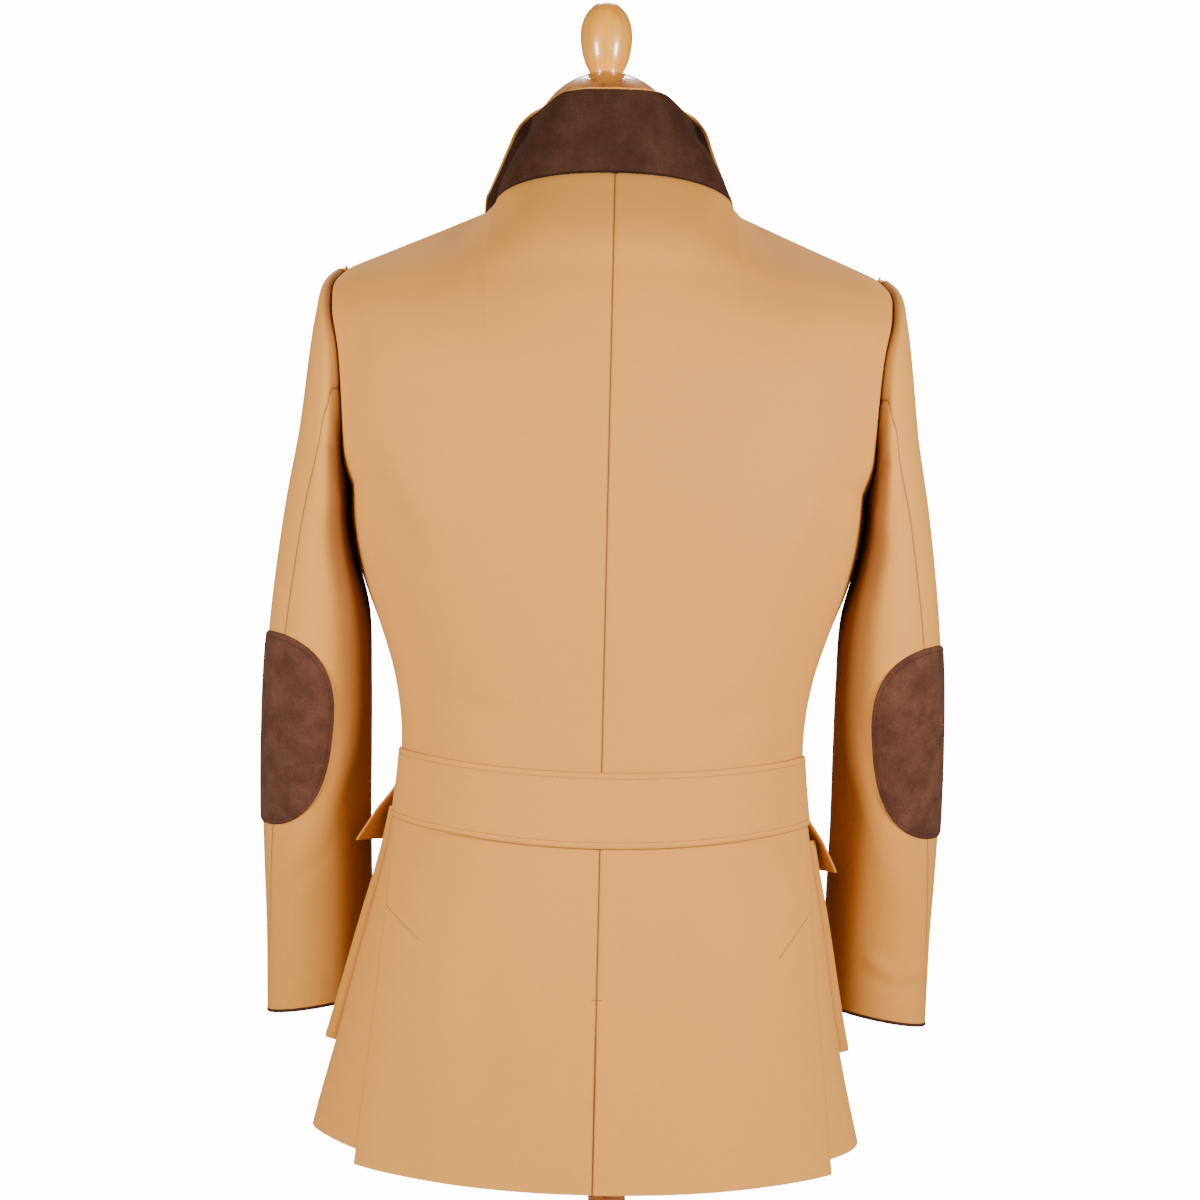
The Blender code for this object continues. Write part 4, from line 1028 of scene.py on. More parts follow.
class StitchKit:
    """Geometry Nodes tree that sews rows of stitches along lines."""

    SEED = 7
    SHORTEST = 0.88
    LONGEST = 1.12
    BEAD_SEGMENTS = 6
    BEAD_RINGS = 5

    def __init__(self, workshop: Workshop) -> None:
        """Build the tree once.

        Args:
            workshop: Workshop that owns the pieces.
        """
        self.workshop = workshop
        self.tree = bpy.data.node_groups.new("thread_stitches", "GeometryNodeTree")
        interface = self.tree.interface
        interface.new_socket("Geometry", in_out="OUTPUT", socket_type="NodeSocketGeometry")
        self.sockets = {"Geometry": interface.new_socket("Geometry", in_out="INPUT",
                                                         socket_type="NodeSocketGeometry")}
        for name in ("Pitch", "Length", "Thickness"):
            self.sockets[name] = interface.new_socket(name, in_out="INPUT", socket_type="NodeSocketFloat")
        self.sockets["Seed"] = interface.new_socket("Seed", in_out="INPUT", socket_type="NodeSocketInt")
        self.sockets["Thread"] = interface.new_socket("Thread", in_out="INPUT",
                                                      socket_type="NodeSocketMaterial")
        self.join_nodes()

    def join_nodes(self) -> None:
        """Join the nodes: line, even points, one stitch at each point, real mesh, material."""
        graph = Graph(self.tree)
        given = graph.add("NodeGroupInput").outputs
        curve = graph.add("GeometryNodeMeshToCurve", {"Mesh": given["Geometry"]})
        points = graph.add("GeometryNodeResampleCurve", {"Curve": curve.outputs[0], "Length": given["Pitch"]},
                           mode="LENGTH")
        tangent = graph.add("GeometryNodeInputTangent")
        turn = graph.add("FunctionNodeAlignRotationToVector", {"Vector": tangent.outputs[0]}, axis="Z")
        vary = graph.add("FunctionNodeRandomValue", {2: self.SHORTEST, 3: self.LONGEST,
                                                     "Seed": given["Seed"]},
                         data_type="FLOAT")
        long = graph.add("ShaderNodeMath", {0: given["Length"], 1: vary.outputs[1]}, operation="MULTIPLY")
        size = graph.add("ShaderNodeCombineXYZ", {"X": given["Thickness"], "Y": given["Thickness"],
                                                  "Z": long.outputs[0]})
        bead = graph.add("GeometryNodeMeshUVSphere", {"Segments": self.BEAD_SEGMENTS,
                                                      "Rings": self.BEAD_RINGS, "Radius": 0.5})
        sewn = graph.add("GeometryNodeInstanceOnPoints", {"Points": points.outputs[0],
                                                          "Instance": bead.outputs[0],
                                                          "Rotation": turn.outputs[0],
                                                          "Scale": size.outputs[0]})
        real = graph.add("GeometryNodeRealizeInstances", {"Geometry": sewn.outputs[0]})
        done = graph.add("GeometryNodeSetMaterial", {"Geometry": real.outputs[0],
                                                     "Material": given["Thread"]})
        graph.add("NodeGroupOutput", {"Geometry": done.outputs[0]})

    def sew(self, name: str, lines: Sequence[Grid], thread: bpy.types.Material, slot: Slot,
            pitch: float = 0.0030, length: float = 0.0024, thickness: float = 0.0006,
            closed: bool = False) -> None:
        """Sew stitches along lines.

        Args:
            name: Name of the stitches.
            lines: Lines of points in the jacket's own frame.
            thread: Material of the thread.
            slot: Material slot, handed on to fit.
            pitch: Distance from stitch to stitch.
            length: Length of a stitch.
            thickness: Thickness of the thread.
            closed: Whether each line is a loop.
        """
        points = []
        edges = []
        for line in lines:
            start = len(points)
            points.extend(self.workshop.lean.place(np.asarray(line)).tolist())
            edges.extend((start + k, start + k + 1) for k in range(len(line) - 1))
            if closed:
                edges.append((start + len(line) - 1, start))
        mesh = bpy.data.meshes.new(f"{name}_line")
        mesh.from_pydata(points, edges, [])
        guide = bpy.data.objects.new(f"{name}_line", mesh)
        bpy.context.scene.collection.objects.link(guide)
        modifier = guide.modifiers.new("stitches", "NODES")
        modifier.node_group = self.tree
        values = {"Pitch": pitch, "Length": length, "Thickness": thickness, "Seed": self.SEED}
        for key, value in {**values, "Thread": thread}.items():
            modifier[self.sockets[key].identifier] = value
        guide.update_tag()
        graph = bpy.context.evaluated_depsgraph_get()
        plain = bpy.data.meshes.new_from_object(guide.evaluated_get(graph))
        plain.name = name
        plain.shade_smooth()
        bpy.data.objects.remove(guide)
        made = bpy.data.objects.new(name, plain)
        bpy.context.scene.collection.objects.link(made)
        self.workshop.fit(made, slot)


@dataclass
class Bodice:
    """Upper back and whole front of both sides, sewn at side, shoulder and armhole."""

    workshop: Workshop
    stitches: StitchKit
    form: BodyForm
    back_folds: tuple[Fold, ...] = (
        Fold((0.205, 0.800), (0.150, 0.690), 0.012, -0.0022),
        Fold((0.190, 0.790), (0.120, 0.720), 0.016, 0.0014),
        Fold((-0.208, 0.810), (-0.160, 0.680), 0.012, -0.0022),
        Fold((-0.190, 0.770), (-0.130, 0.690), 0.015, 0.0013),
        Fold((0.205, 0.905), (0.215, 0.845), 0.010, -0.0016),
        Fold((-0.208, 0.905), (-0.216, 0.840), 0.010, -0.0018),
        Fold((0.150, 0.600), (0.060, 0.565), 0.014, -0.0016),
        Fold((-0.155, 0.595), (-0.070, 0.570), 0.013, -0.0014),
        Fold((0.090, 0.900), (0.080, 0.660), 0.045, 0.0016),
        Fold((-0.100, 0.890), (-0.085, 0.650), 0.045, 0.0013),
    )
    front_folds: tuple[Fold, ...] = (
        Fold((0.185, 0.790), (0.120, 0.690), 0.013, -0.0024),
        Fold((-0.185, 0.785), (-0.115, 0.700), 0.013, -0.0022),
        Fold((0.060, 0.560), (0.160, 0.600), 0.015, -0.0020),
        Fold((-0.060, 0.570), (-0.155, 0.590), 0.015, -0.0018),
        Fold((0.110, 0.420), (0.120, 0.230), 0.030, 0.0022),
        Fold((-0.105, 0.420), (-0.125, 0.230), 0.030, 0.0020),
    )
    overlap: float = 0.020
    lift: float = 0.0022
    lift_end: float = 0.066
    lift_run: float = 0.026
    armhole_rows: int = 61
    row_step: float = 0.0045
    edge_stitch: float = 0.006
    hem_stitch: float = 0.028
    fold_hold: float = 0.03
    armhole_groove: float = 0.0003
    # Painted shadow line along the armhole seam, fainter than at the other seams
    armhole_shade: float = 0.4
    neck_columns: int = 26
    side_columns: int = 34

    def levels(self, foot: float) -> Grid:
        """Heights of the rows from a foot to the shoulder tip.

        Args:
            foot: Height of the lowest row.

        Returns:
            The heights.
        """
        count = int((UNDERARM - foot) / self.row_step)
        lower = with_edges(np.linspace(foot, UNDERARM, count), 1.0, last=False)
        return np.concatenate([lower[:-1], self.form.armhole_levels(self.armhole_rows)])

    def columns(self, first: float) -> Grid:
        """Shares of the columns from the centre line to the side, one of them on the neck point.

        Args:
            first: Share of the first column.

        Returns:
            The shares.
        """
        neck = self.form.neck_share
        near = neck * np.sin(np.linspace(math.asin(first / neck), math.pi / 2.0, self.neck_columns))
        far = np.sin(np.linspace(math.asin(neck), math.pi / 2.0, self.side_columns))
        return with_edges(np.concatenate([near, far[1:]]), self.form.shoulder_point[0])

    def panel(self, half: Half, foot: float, first: float, side: Side) -> Sheet:
        """One back or front half with its folds and seams.

        Args:
            half: Back or front.
            foot: Height of its lower edge at the side.
            first: Share of its first column.
            side: Side that it is built on.

        Returns:
            The sheet, in the left side's place.
        """
        levels = self.levels(foot)
        sheet = self.form.sheet(half, levels, self.columns(first))
        below = levels <= UNDERARM
        sheet.normals[below, -1, 1] = 0.0
        if half is Half.BACK:
            sheet.normals[:, 0, 0] = 0.0
            sheet.points[:, 0, 0] = SEAM_GAP / 2.0
        step = SEAM_GAP / 2.0 if half is Half.BACK else -SEAM_GAP / 2.0
        sheet.points[below, -1, 1] += step
        shoulder = self.columns(first) >= self.form.neck_share
        run = np.array(self.form.shoulder_point) - np.array(self.form.neck_point)
        sheet.normals[-1, shoulder] = (-run[2], 0.0, run[0])
        sheet.points[-1, shoulder, 1] += step
        sheet.normals = unit(sheet.normals)
        folds = self.back_folds if half is Half.BACK else self.front_folds
        out = np.zeros(sheet.points.shape[:2])
        for fold in folds:
            out += fold.push(sheet.points[..., 0] * side.value, sheet.points[..., 2])
        for edge in (Edge.LAST, Edge.TOP):
            out = out * smooth(sheet.edge_distance(edge) / self.fold_hold)
        return sheet.pushed(out)

    def build(self, side: Side) -> Grid:
        """Build the back and front of one side.

        Args:
            side: The side.

        Returns:
            Armhole loop for the sleeve, in the left side's place.
        """
        back = self.panel(Half.BACK, BODICE_FOOT, 0.0, side)
        front = self.panel(Half.FRONT, HEM_SIDE, -self.overlap / self.form.shoulder_point[0], side)
        rows = self.armhole_rows
        loop = np.concatenate([back.points[-rows:, -1], front.points[-2:-rows:-1, -1]])
        if side is Side.LEFT:
            raised = smooth((self.lift_end - front.points[..., 0]) / self.lift_run) * self.lift
            front = front.pushed(raised)
        front = self.form.swayed(front, side)
        finishes = self.workshop.finishes
        armhole = {"groove": self.armhole_groove, "shade": self.armhole_shade}
        # Painted shadow lines along the seams
        back = back.seamed(Edge.FIRST, Edge.TOP).seamed(Edge.LAST, **armhole)
        front = front.seamed(Edge.TOP).seamed(Edge.LAST, **armhole)
        for name, sheet in (("back", back), ("front", front)):
            own = Sheet(side.mirrored(sheet.points), side.mirrored(sheet.normals), shade=sheet.shade)
            piece = self.workshop.add_shell(f"cloth_{side.label(name)}", own, CLOTH, finishes.cotton)
            self.workshop.fit(piece, Slot.COTTON, side.label(name))
            self.workshop.declare(piece, own, ["form_torso"])
        edge = side.mirrored(front.inset_line(Edge.FIRST, self.edge_stitch, THREAD_LIFT))
        hem = side.mirrored(front.inset_line(Edge.FOOT, self.hem_stitch, THREAD_LIFT))
        self.stitches.sew(side.label("front_stitches"), [edge, hem], finishes.tan_thread, Slot.COTTON)
        return loop


@dataclass
class Sleeve:
    """Two-piece sleeve with its elbow patch and bound cuff."""

    workshop: Workshop
    stitches: StitchKit
    form: SleeveForm
    folds: dict[Side, tuple[Fold, ...]] = field(default_factory=lambda: {
        Side.LEFT: (
            Fold((0.110, 0.13), (0.050, 0.26), 0.010, -0.0022),
            Fold((0.125, 0.18), (0.075, 0.32), 0.011, 0.0018),
            Fold((-0.090, 0.50), (-0.030, 0.55), 0.010, -0.0028),
            Fold((-0.100, 0.56), (-0.020, 0.60), 0.010, 0.0020),
            Fold((0.100, 0.60), (0.040, 0.66), 0.011, -0.0016),
        ),
        Side.RIGHT: (
            Fold((0.115, 0.12), (0.055, 0.27), 0.010, -0.0022),
            Fold((0.125, 0.19), (0.080, 0.33), 0.011, 0.0018),
            Fold((-0.090, 0.49), (-0.030, 0.54), 0.010, -0.0028),
            Fold((-0.100, 0.55), (-0.020, 0.60), 0.010, 0.0020),
            Fold((0.100, 0.698), (0.062, 0.712), 0.0055, 0.0022),
            Fold((0.066, 0.712), (0.018, 0.697), 0.0055, 0.0022),
            Fold((0.090, 0.718), (0.030, 0.718), 0.006, -0.0014),
        ),
    })
    patch_centre: tuple[float, float] = (38.0, 7.93)
    patch_half: tuple[float, float] = (75.0, 1.36)
    patch_taper: float = 0.14
    patch_roundness: float = 2.6
    patch_stand: float = 0.0024
    patch_edge: float = 0.0007
    patch_rings: int = 30
    patch_sectors: int = 120
    patch_stitch: float = 0.945
    patch_edge_rings: int = 8
    patch_middle: float = 0.0008
    patch_flat: float = 0.93
    patch_roll: float = 0.955
    patch_sink: float = 0.0005
    patch_sink_run: float = 0.010
    # Painted shadow ring at the patch's stitch line
    patch_shade: float = 0.3
    patch_shade_run: float = 0.008
    patch_bed: float = 0.0002
    binding: float = 0.0028
    binding_steps: int = 7
    binding_swell: float = 0.0006
    head_gap: float = SEAM_GAP * 1.3
    head_roll: float = 0.0016
    head_roll_place: float = 0.35
    head_roll_run: float = 0.3
    head_groove: float = 0.0003
    # Painted shadow line along the armhole seam, fainter than at the other seams
    head_shade: float = 0.4
    fold_start: float = 1.5
    # Painted shade on the side of the sleeve that faces the body
    inner_shade: float = 0.85
    inner_from: float = 0.35
    inner_run: float = 0.60

    def fold_push(self, side: Side, sections: Grid, degrees: Grid) -> Grid:
        """How far all folds move the sleeve out.

        Args:
            side: Side of the sleeve.
            sections: Section numbers of the points.
            degrees: Degrees round the sleeve of the points.

        Returns:
            Distance outwards at each point.
        """
        turned = (np.asarray(degrees) + 180.0) % 360.0 - 180.0
        across = turned * self.form.metres_per_degree
        along = np.asarray(sections) * self.form.metres_per_section
        out = np.zeros(np.shape(across))
        for fold in self.folds[side]:
            out += fold.push(across, along)
        return out

    def build(self, side: Side, loop: Grid) -> None:
        """Build one sleeve.

        Args:
            side: Side of the sleeve.
            loop: Armhole loop in the left side's place.
        """
        last = len(self.form.sections) - 1
        sections = np.linspace(0.0, last, last * self.form.rows_per_section + 1)
        sections = with_edges(sections, self.form.metres_per_section)
        loop = loop + np.array([self.head_gap, 0.0, 0.0])
        tube, degrees = self.form.tube(loop, sections)
        rows = np.repeat(sections[:, None], self.form.around, axis=1)
        out = self.fold_push(side, rows, degrees) * smooth(rows / self.fold_start)
        top = np.cos(np.radians(degrees)) * 0.5 + 0.5
        out += self.head_roll * top * np.exp(-((rows - self.head_roll_place) / self.head_roll_run) ** 2)
        tube = tube.pushed(out)
        self.build_pieces(side, tube, self.build_binding(side, tube))
        self.build_patch(side)

    def build_pieces(self, side: Side, tube: Sheet, binding: bpy.types.Object) -> None:
        """Cut the tube along its two seams.

        Args:
            side: Side of the sleeve.
            tube: The whole sleeve.
            binding: Bound edge of the cuff, handed with the top piece to declare.
        """
        seams = (self.form.back_seam, self.form.front_seam)
        top = list(range(seams[0], seams[1] + 1))
        under = list(range(seams[1], self.form.around)) + list(range(seams[0] + 1))
        for name, columns in (("sleeve_top", top), ("sleeve_under", under)):
            points = tube.points[:, columns].copy()
            normals = tube.normals[:, columns]
            points, normals = self.edge_columns(points, normals)
            # Painted shadow lines along the sleeve's seams, fainter at the armhole
            sheet = Sheet(points, normals).seamed(Edge.FIRST, Edge.LAST)
            sheet = sheet.seamed(Edge.FOOT, groove=self.head_groove, shade=self.head_shade)
            # Painted shade where the sleeve turns towards the body, laid over the painted shadow lines of its
            # seams
            painted_body_side_shade = self.inner_shade * smooth((-sheet.normals[..., 0] - self.inner_from) / self.inner_run)
            own = Sheet(side.mirrored(sheet.points), side.mirrored(sheet.normals),
                        shade=np.maximum(sheet.shade, painted_body_side_shade))
            piece = self.workshop.add_shell(f"cloth_{side.label(name)}", own, CLOTH,
                                            self.workshop.finishes.cotton)
            self.workshop.fit(piece, Slot.COTTON, side.label(name))
            rests = [f"cloth_{side.label('back')}", f"cloth_{side.label('front')}"]
            self.workshop.declare(piece, own, rests, trim=[binding] if name == "sleeve_top" else [])

    def edge_columns(self, points: Grid, normals: Grid) -> tuple[Grid, Grid]:
        """Draw both seam edges in by half a gap and add close columns beside them.

        Args:
            points: Points of one sleeve piece.
            normals: Normals of the same points.

        Returns:
            Points and normals with the added columns.
        """
        count = points.shape[1]
        width = float(np.linalg.norm(np.diff(points, axis=1), axis=-1).sum(axis=1).mean())
        gap = SEAM_GAP / 2.0 / width
        wanted = with_edges(np.linspace(gap, 1.0 - gap, count), width) * (count - 1)
        low = np.clip(wanted.astype(int), 0, count - 2)
        share = (wanted - low)[None, :, None]
        mixed = points[:, low] * (1.0 - share) + points[:, low + 1] * share
        turned = unit(normals[:, low] * (1.0 - share) + normals[:, low + 1] * share)
        return mixed, turned

    def build_binding(self, side: Side, tube: Sheet) -> bpy.types.Object:
        """Bind the cuff's edge with a narrow rolled strip of suede.

        Args:
            side: Side of the sleeve.
            tube: The whole sleeve.

        Returns:
            The binding.
        """
        fall = unit(tube.points[-1] - tube.points[-3])
        roll = np.linspace(0.0, 1.0, self.binding_steps)
        start = tube.points[-1] + fall * SEAM_GAP
        swell = tube.normals[-1] * self.binding_swell
        rings = np.array([start + fall * self.binding * step + swell * math.sin(math.pi * step)
                          for step in roll])
        normals = np.repeat(tube.normals[-1:], len(roll), axis=0)
        own = Sheet(side.mirrored(rings), side.mirrored(normals), wrap=True)
        piece = self.workshop.add_shell(f"cloth_{side.label('cuff_binding')}", own, CLOTH,
                                        self.workshop.finishes.collar_suede)
        self.workshop.fit(piece, Slot.SUEDE, side.label("cuff_binding"))
        return piece

    def patch_points(self, u: Grid, v: Grid) -> Grid:
        """Sleeve points under the patch.

        Args:
            u: Measure round the sleeve from -1 to 1.
            v: Measure down the sleeve from -1 to 1.

        Returns:
            Points on the plain sleeve.
        """
        broad = 1.0 - self.patch_taper * v
        sections = self.patch_centre[1] + self.patch_half[1] * v
        degrees = self.patch_centre[0] + self.patch_half[0] * u * broad
        return self.form.points(sections, degrees)

    def build_patch(self, side: Side) -> None:
        """Lay the rounded patch on the elbow, with its edge sewn down.

        Args:
            side: Side of the sleeve.
        """
        angle = np.linspace(0.0, 2.0 * math.pi, self.patch_sectors, endpoint=False)[None, :]
        middle = np.linspace(self.patch_middle, self.patch_flat, self.patch_rings - self.patch_edge_rings)
        reach = np.concatenate([middle, np.linspace(self.patch_stitch, 1.0, self.patch_edge_rings)])[:, None]
        u, v = (reach * np.sign(wave) * np.abs(wave) ** (2.0 / self.patch_roundness)
                for wave in (np.cos(angle), np.sin(angle)))
        step = 0.01
        points = self.patch_points(u, v)
        normals = unit(np.cross(self.patch_points(u + step, v) - points,
                                self.patch_points(u, v + step) - points))
        if normals[0, 0, 1] < 0.0:
            normals = -normals
        broad = 1.0 - self.patch_taper * v
        out = self.fold_push(side, self.patch_centre[1] + self.patch_half[1] * v,
                             self.patch_centre[0] + self.patch_half[0] * u * broad)
        past = np.clip((reach - self.patch_roll) / (1.0 - self.patch_roll), 0.0, 1.0)
        roll = np.sqrt(1.0 - past ** 2)
        sunk = self.patch_sink * np.exp(-((reach - self.patch_stitch) / self.patch_sink_run) ** 2)
        height = out + self.patch_edge + (self.patch_stand - self.patch_edge) * roll - sunk
        outer = points + normals * height[..., None]
        inner = points + normals * (out + self.patch_bed)[..., None]
        # Painted shadow ring where the patch's edge sinks at its stitches
        dark = self.patch_shade * np.exp(-((reach - self.patch_stitch) / self.patch_shade_run) ** 2)
        shade = np.broadcast_to(dark, outer.shape[:2])
        own = Sheet(side.mirrored(outer), side.mirrored(normals), wrap=True, shade=shade)
        piece = self.workshop.add_shell(f"cloth_{side.label('elbow_patch')}", own, SUEDE,
                                        self.workshop.finishes.patch_suede, inner=side.mirrored(inner))
        self.workshop.fit(piece, Slot.SUEDE, side.label("elbow_patch"))
        rests = [f"cloth_{side.label('sleeve_top')}", f"cloth_{side.label('sleeve_under')}"]
        ring = int(np.argmin(np.abs(reach[:, 0] - self.patch_stitch)))
        line = side.mirrored(outer[ring] + normals[ring] * THREAD_LIFT)
        self.stitches.sew(side.label("patch_stitches"), [line], self.workshop.finishes.brown_thread,
                          Slot.SUEDE, closed=True)


@dataclass
class Skirt:
    """Back skirts with their vent and side pleats, and the pieces that show under the pleats."""

    workshop: Workshop
    stitches: StitchKit
    form: BodyForm
    pleat_heights: tuple[float, ...] = (0.200, 0.250, 0.350, 0.420, 0.447, 0.475)
    pleat_shares: tuple[float, ...] = (0.828, 0.846, 0.885, 0.918, 0.945, 0.995)
    pleat_stand: float = 0.0048
    pleat_stand_run: float = 0.28
    pleat_underlap: float = 0.075
    pleat_fade: float = 0.04
    top_share: float = 0.995
    belt_foot: float = 0.475
    vent_top: float = 0.36
    vent_open: float = 0.0010
    top_level: float = BODICE_FOOT - 0.0008
    under_lap_end: float = 0.458
    under_lap_fade: float = 0.010
    under_gap: float = 0.006
    under_hem_rise: float = 0.004
    under_hem_run: float = 0.034
    bar_rise: float = 0.005
    bar_half: float = 0.003
    tack_points: int = 24
    tack_stitch: float = 0.0022
    tack_thick: float = 0.0008
    hem_drop: float = 0.009
    hem_drop_run: float = 0.06
    tacks: dict[Side, tuple[tuple[float, float], tuple[float, float]]] = field(default_factory=lambda: {
        Side.LEFT: ((0.1758, 0.4178), (0.1465, 0.3943)),
        Side.RIGHT: ((-0.1735, 0.4174), (-0.1485, 0.3854)),
    })
    folds: tuple[Fold, ...] = (
        Fold((0.125, 0.440), (0.135, 0.210), 0.022, 0.0020),
        Fold((0.085, 0.420), (0.085, 0.200), 0.024, -0.0016),
        Fold((-0.120, 0.440), (-0.140, 0.210), 0.022, 0.0018),
        Fold((-0.075, 0.430), (-0.080, 0.200), 0.026, -0.0014),
        Fold((0.170, 0.425), (0.140, 0.390), 0.006, -0.0008),
        Fold((-0.170, 0.425), (-0.142, 0.380), 0.006, -0.0008),
    )

    def pleat_share(self, heights: Grid) -> Grid:
        """Share of the half width at which the pleat edge lies, by height at the side."""
        return np.interp(heights, self.pleat_heights, self.pleat_shares)

    def skirt_edge(self, heights: Grid) -> Grid:
        """Share at which the back skirt ends, by height; it runs out to the side seam under the belt."""
        top = smooth((heights - self.pleat_heights[-2]) / (BODICE_FOOT - self.pleat_heights[-2]))
        return self.pleat_share(heights) * (1.0 - top) + self.top_share * top

    def back_skirt(self, side: Side) -> Sheet:
        """Outer face of one back skirt.

        Args:
            side: Side of the skirt.

        Returns:
            The sheet, in the left side's place.
        """
        levels = with_edges(np.linspace(HEM_SIDE, self.top_level, 72), 1.0)
        columns = with_edges(np.sin(np.linspace(0.0, math.pi / 2.0, 54)), 0.2)
        sheet = self.form.sheet(Half.BACK, levels, columns[None, :] * self.skirt_edge(levels)[:, None])
        sheet.normals[:, 0, 0] = 0.0
        sheet.normals = unit(sheet.normals)
        near_edge = smooth(1.0 - (1.0 - columns[None, :]) / self.pleat_stand_run)
        below_belt = smooth((self.belt_foot - levels) / self.pleat_fade)[:, None]
        out = self.pleat_stand * near_edge * below_belt
        for fold in self.folds:
            out = out + fold.push(sheet.points[..., 0] * side.value, sheet.points[..., 2])
        sheet = sheet.pushed(out)
        vent = smooth((self.vent_top - levels) / (self.vent_top - HEM_SIDE)) * self.vent_open
        sheet.points[:, 0, 0] = SEAM_GAP / 2.0 + vent
        hang = smooth(1.0 - (levels - HEM_SIDE) / self.hem_drop_run)[:, None]
        sheet.points[..., 2] -= self.hem_drop * hang * columns[None, :] ** 2
        return sheet

    def under_piece(self, side: Side) -> Sheet:
        """Outer face of the side piece under the pleat.

        Args:
            side: Side of the skirt.

        Returns:
            The sheet, in the left side's place.
        """
        levels = with_edges(np.linspace(HEM_SIDE, self.top_level, 50), 1.0)
        columns = with_edges(np.sin(np.linspace(0.0, math.pi / 2.0, 24)), 0.05)
        lapped = smooth((self.under_lap_end - levels) / self.under_lap_fade)
        beside = np.sin(np.arcsin(self.skirt_edge(levels)) + self.under_gap * (1.0 - lapped))
        start = (beside - self.pleat_underlap * lapped)[:, None]
        sheet = self.form.sheet(Half.BACK, levels, start + (1.0 - start) * columns[None, :])
        sheet.normals[:, -1, 1] = 0.0
        sheet.normals = unit(sheet.normals)
        sheet.points[:, -1, 1] += SEAM_GAP / 2.0
        near_hem = smooth(1.0 - (levels - HEM_SIDE) / self.under_hem_run)[:, None]
        sheet.points[..., 2] += self.under_hem_rise * (1.0 - columns[None, :]) * near_hem
        return self.form.swayed(sheet, side)

    def build(self, side: Side) -> None:
        """Build one side of the skirt.

        Args:
            side: The side.
        """
        cotton = self.workshop.finishes.cotton
        # Painted shadow lines along the seams, fainter along the pleat's edge
        skirt = self.back_skirt(side).seamed(Edge.FIRST).seamed(Edge.LAST, groove=0.0012, shade=0.25)
        under = self.under_piece(side).seamed(Edge.LAST)
        for name, sheet in (("skirt", skirt), ("pleat_under", under)):
            own = Sheet(side.mirrored(sheet.points), side.mirrored(sheet.normals), shade=sheet.shade)
            piece = self.workshop.add_shell(f"cloth_{side.label(name)}", own, CLOTH, cotton)
            self.workshop.fit(piece, Slot.COTTON, side.label(name))
            rests = [f"cloth_{side.label('back')}"] if name == "skirt" else [f"cloth_{side.label('front')}"]
            self.workshop.declare(piece, own, rests)
        self.sew_tack(side, skirt)

    def sew_tack(self, side: Side, skirt: Sheet) -> None:
        """Sew the slanted tack below the belt, and once the bar at the head of the vent.

        Args:
            side: Side of the skirt.
            skirt: Outer face of the skirt in the left side's place.
        """
        rows, columns = skirt.points.shape[:2]
        faces = shell_faces(rows, columns, False)[:(rows - 1) * (columns - 1)]
        tree = BVHTree.FromPolygons(side.mirrored(skirt.points).reshape(-1, 3).tolist(), faces.tolist())
        line = []
        for x, z in np.linspace(*self.tacks[side], self.tack_points):
            spot = tree.ray_cast((x, 1.0, z), (0.0, -1.0, 0.0))[0]
            line.append(np.array(spot) + np.array([0.0, THREAD_LIFT, 0.0]))
        lines = [np.array(line)]
        if side is Side.LEFT:
            middle = self.form.row(Half.BACK, self.vent_top + self.bar_rise, np.array([0.0]))[0]
            bar = np.array([[x, middle[1], middle[2]] for x in (-self.bar_half, 0.0, self.bar_half)])
            lines.append(bar)
        self.stitches.sew(side.label("skirt_tack"), lines, self.workshop.finishes.tan_thread, Slot.COTTON,
                          pitch=self.tack_stitch, length=self.tack_stitch, thickness=self.tack_thick)


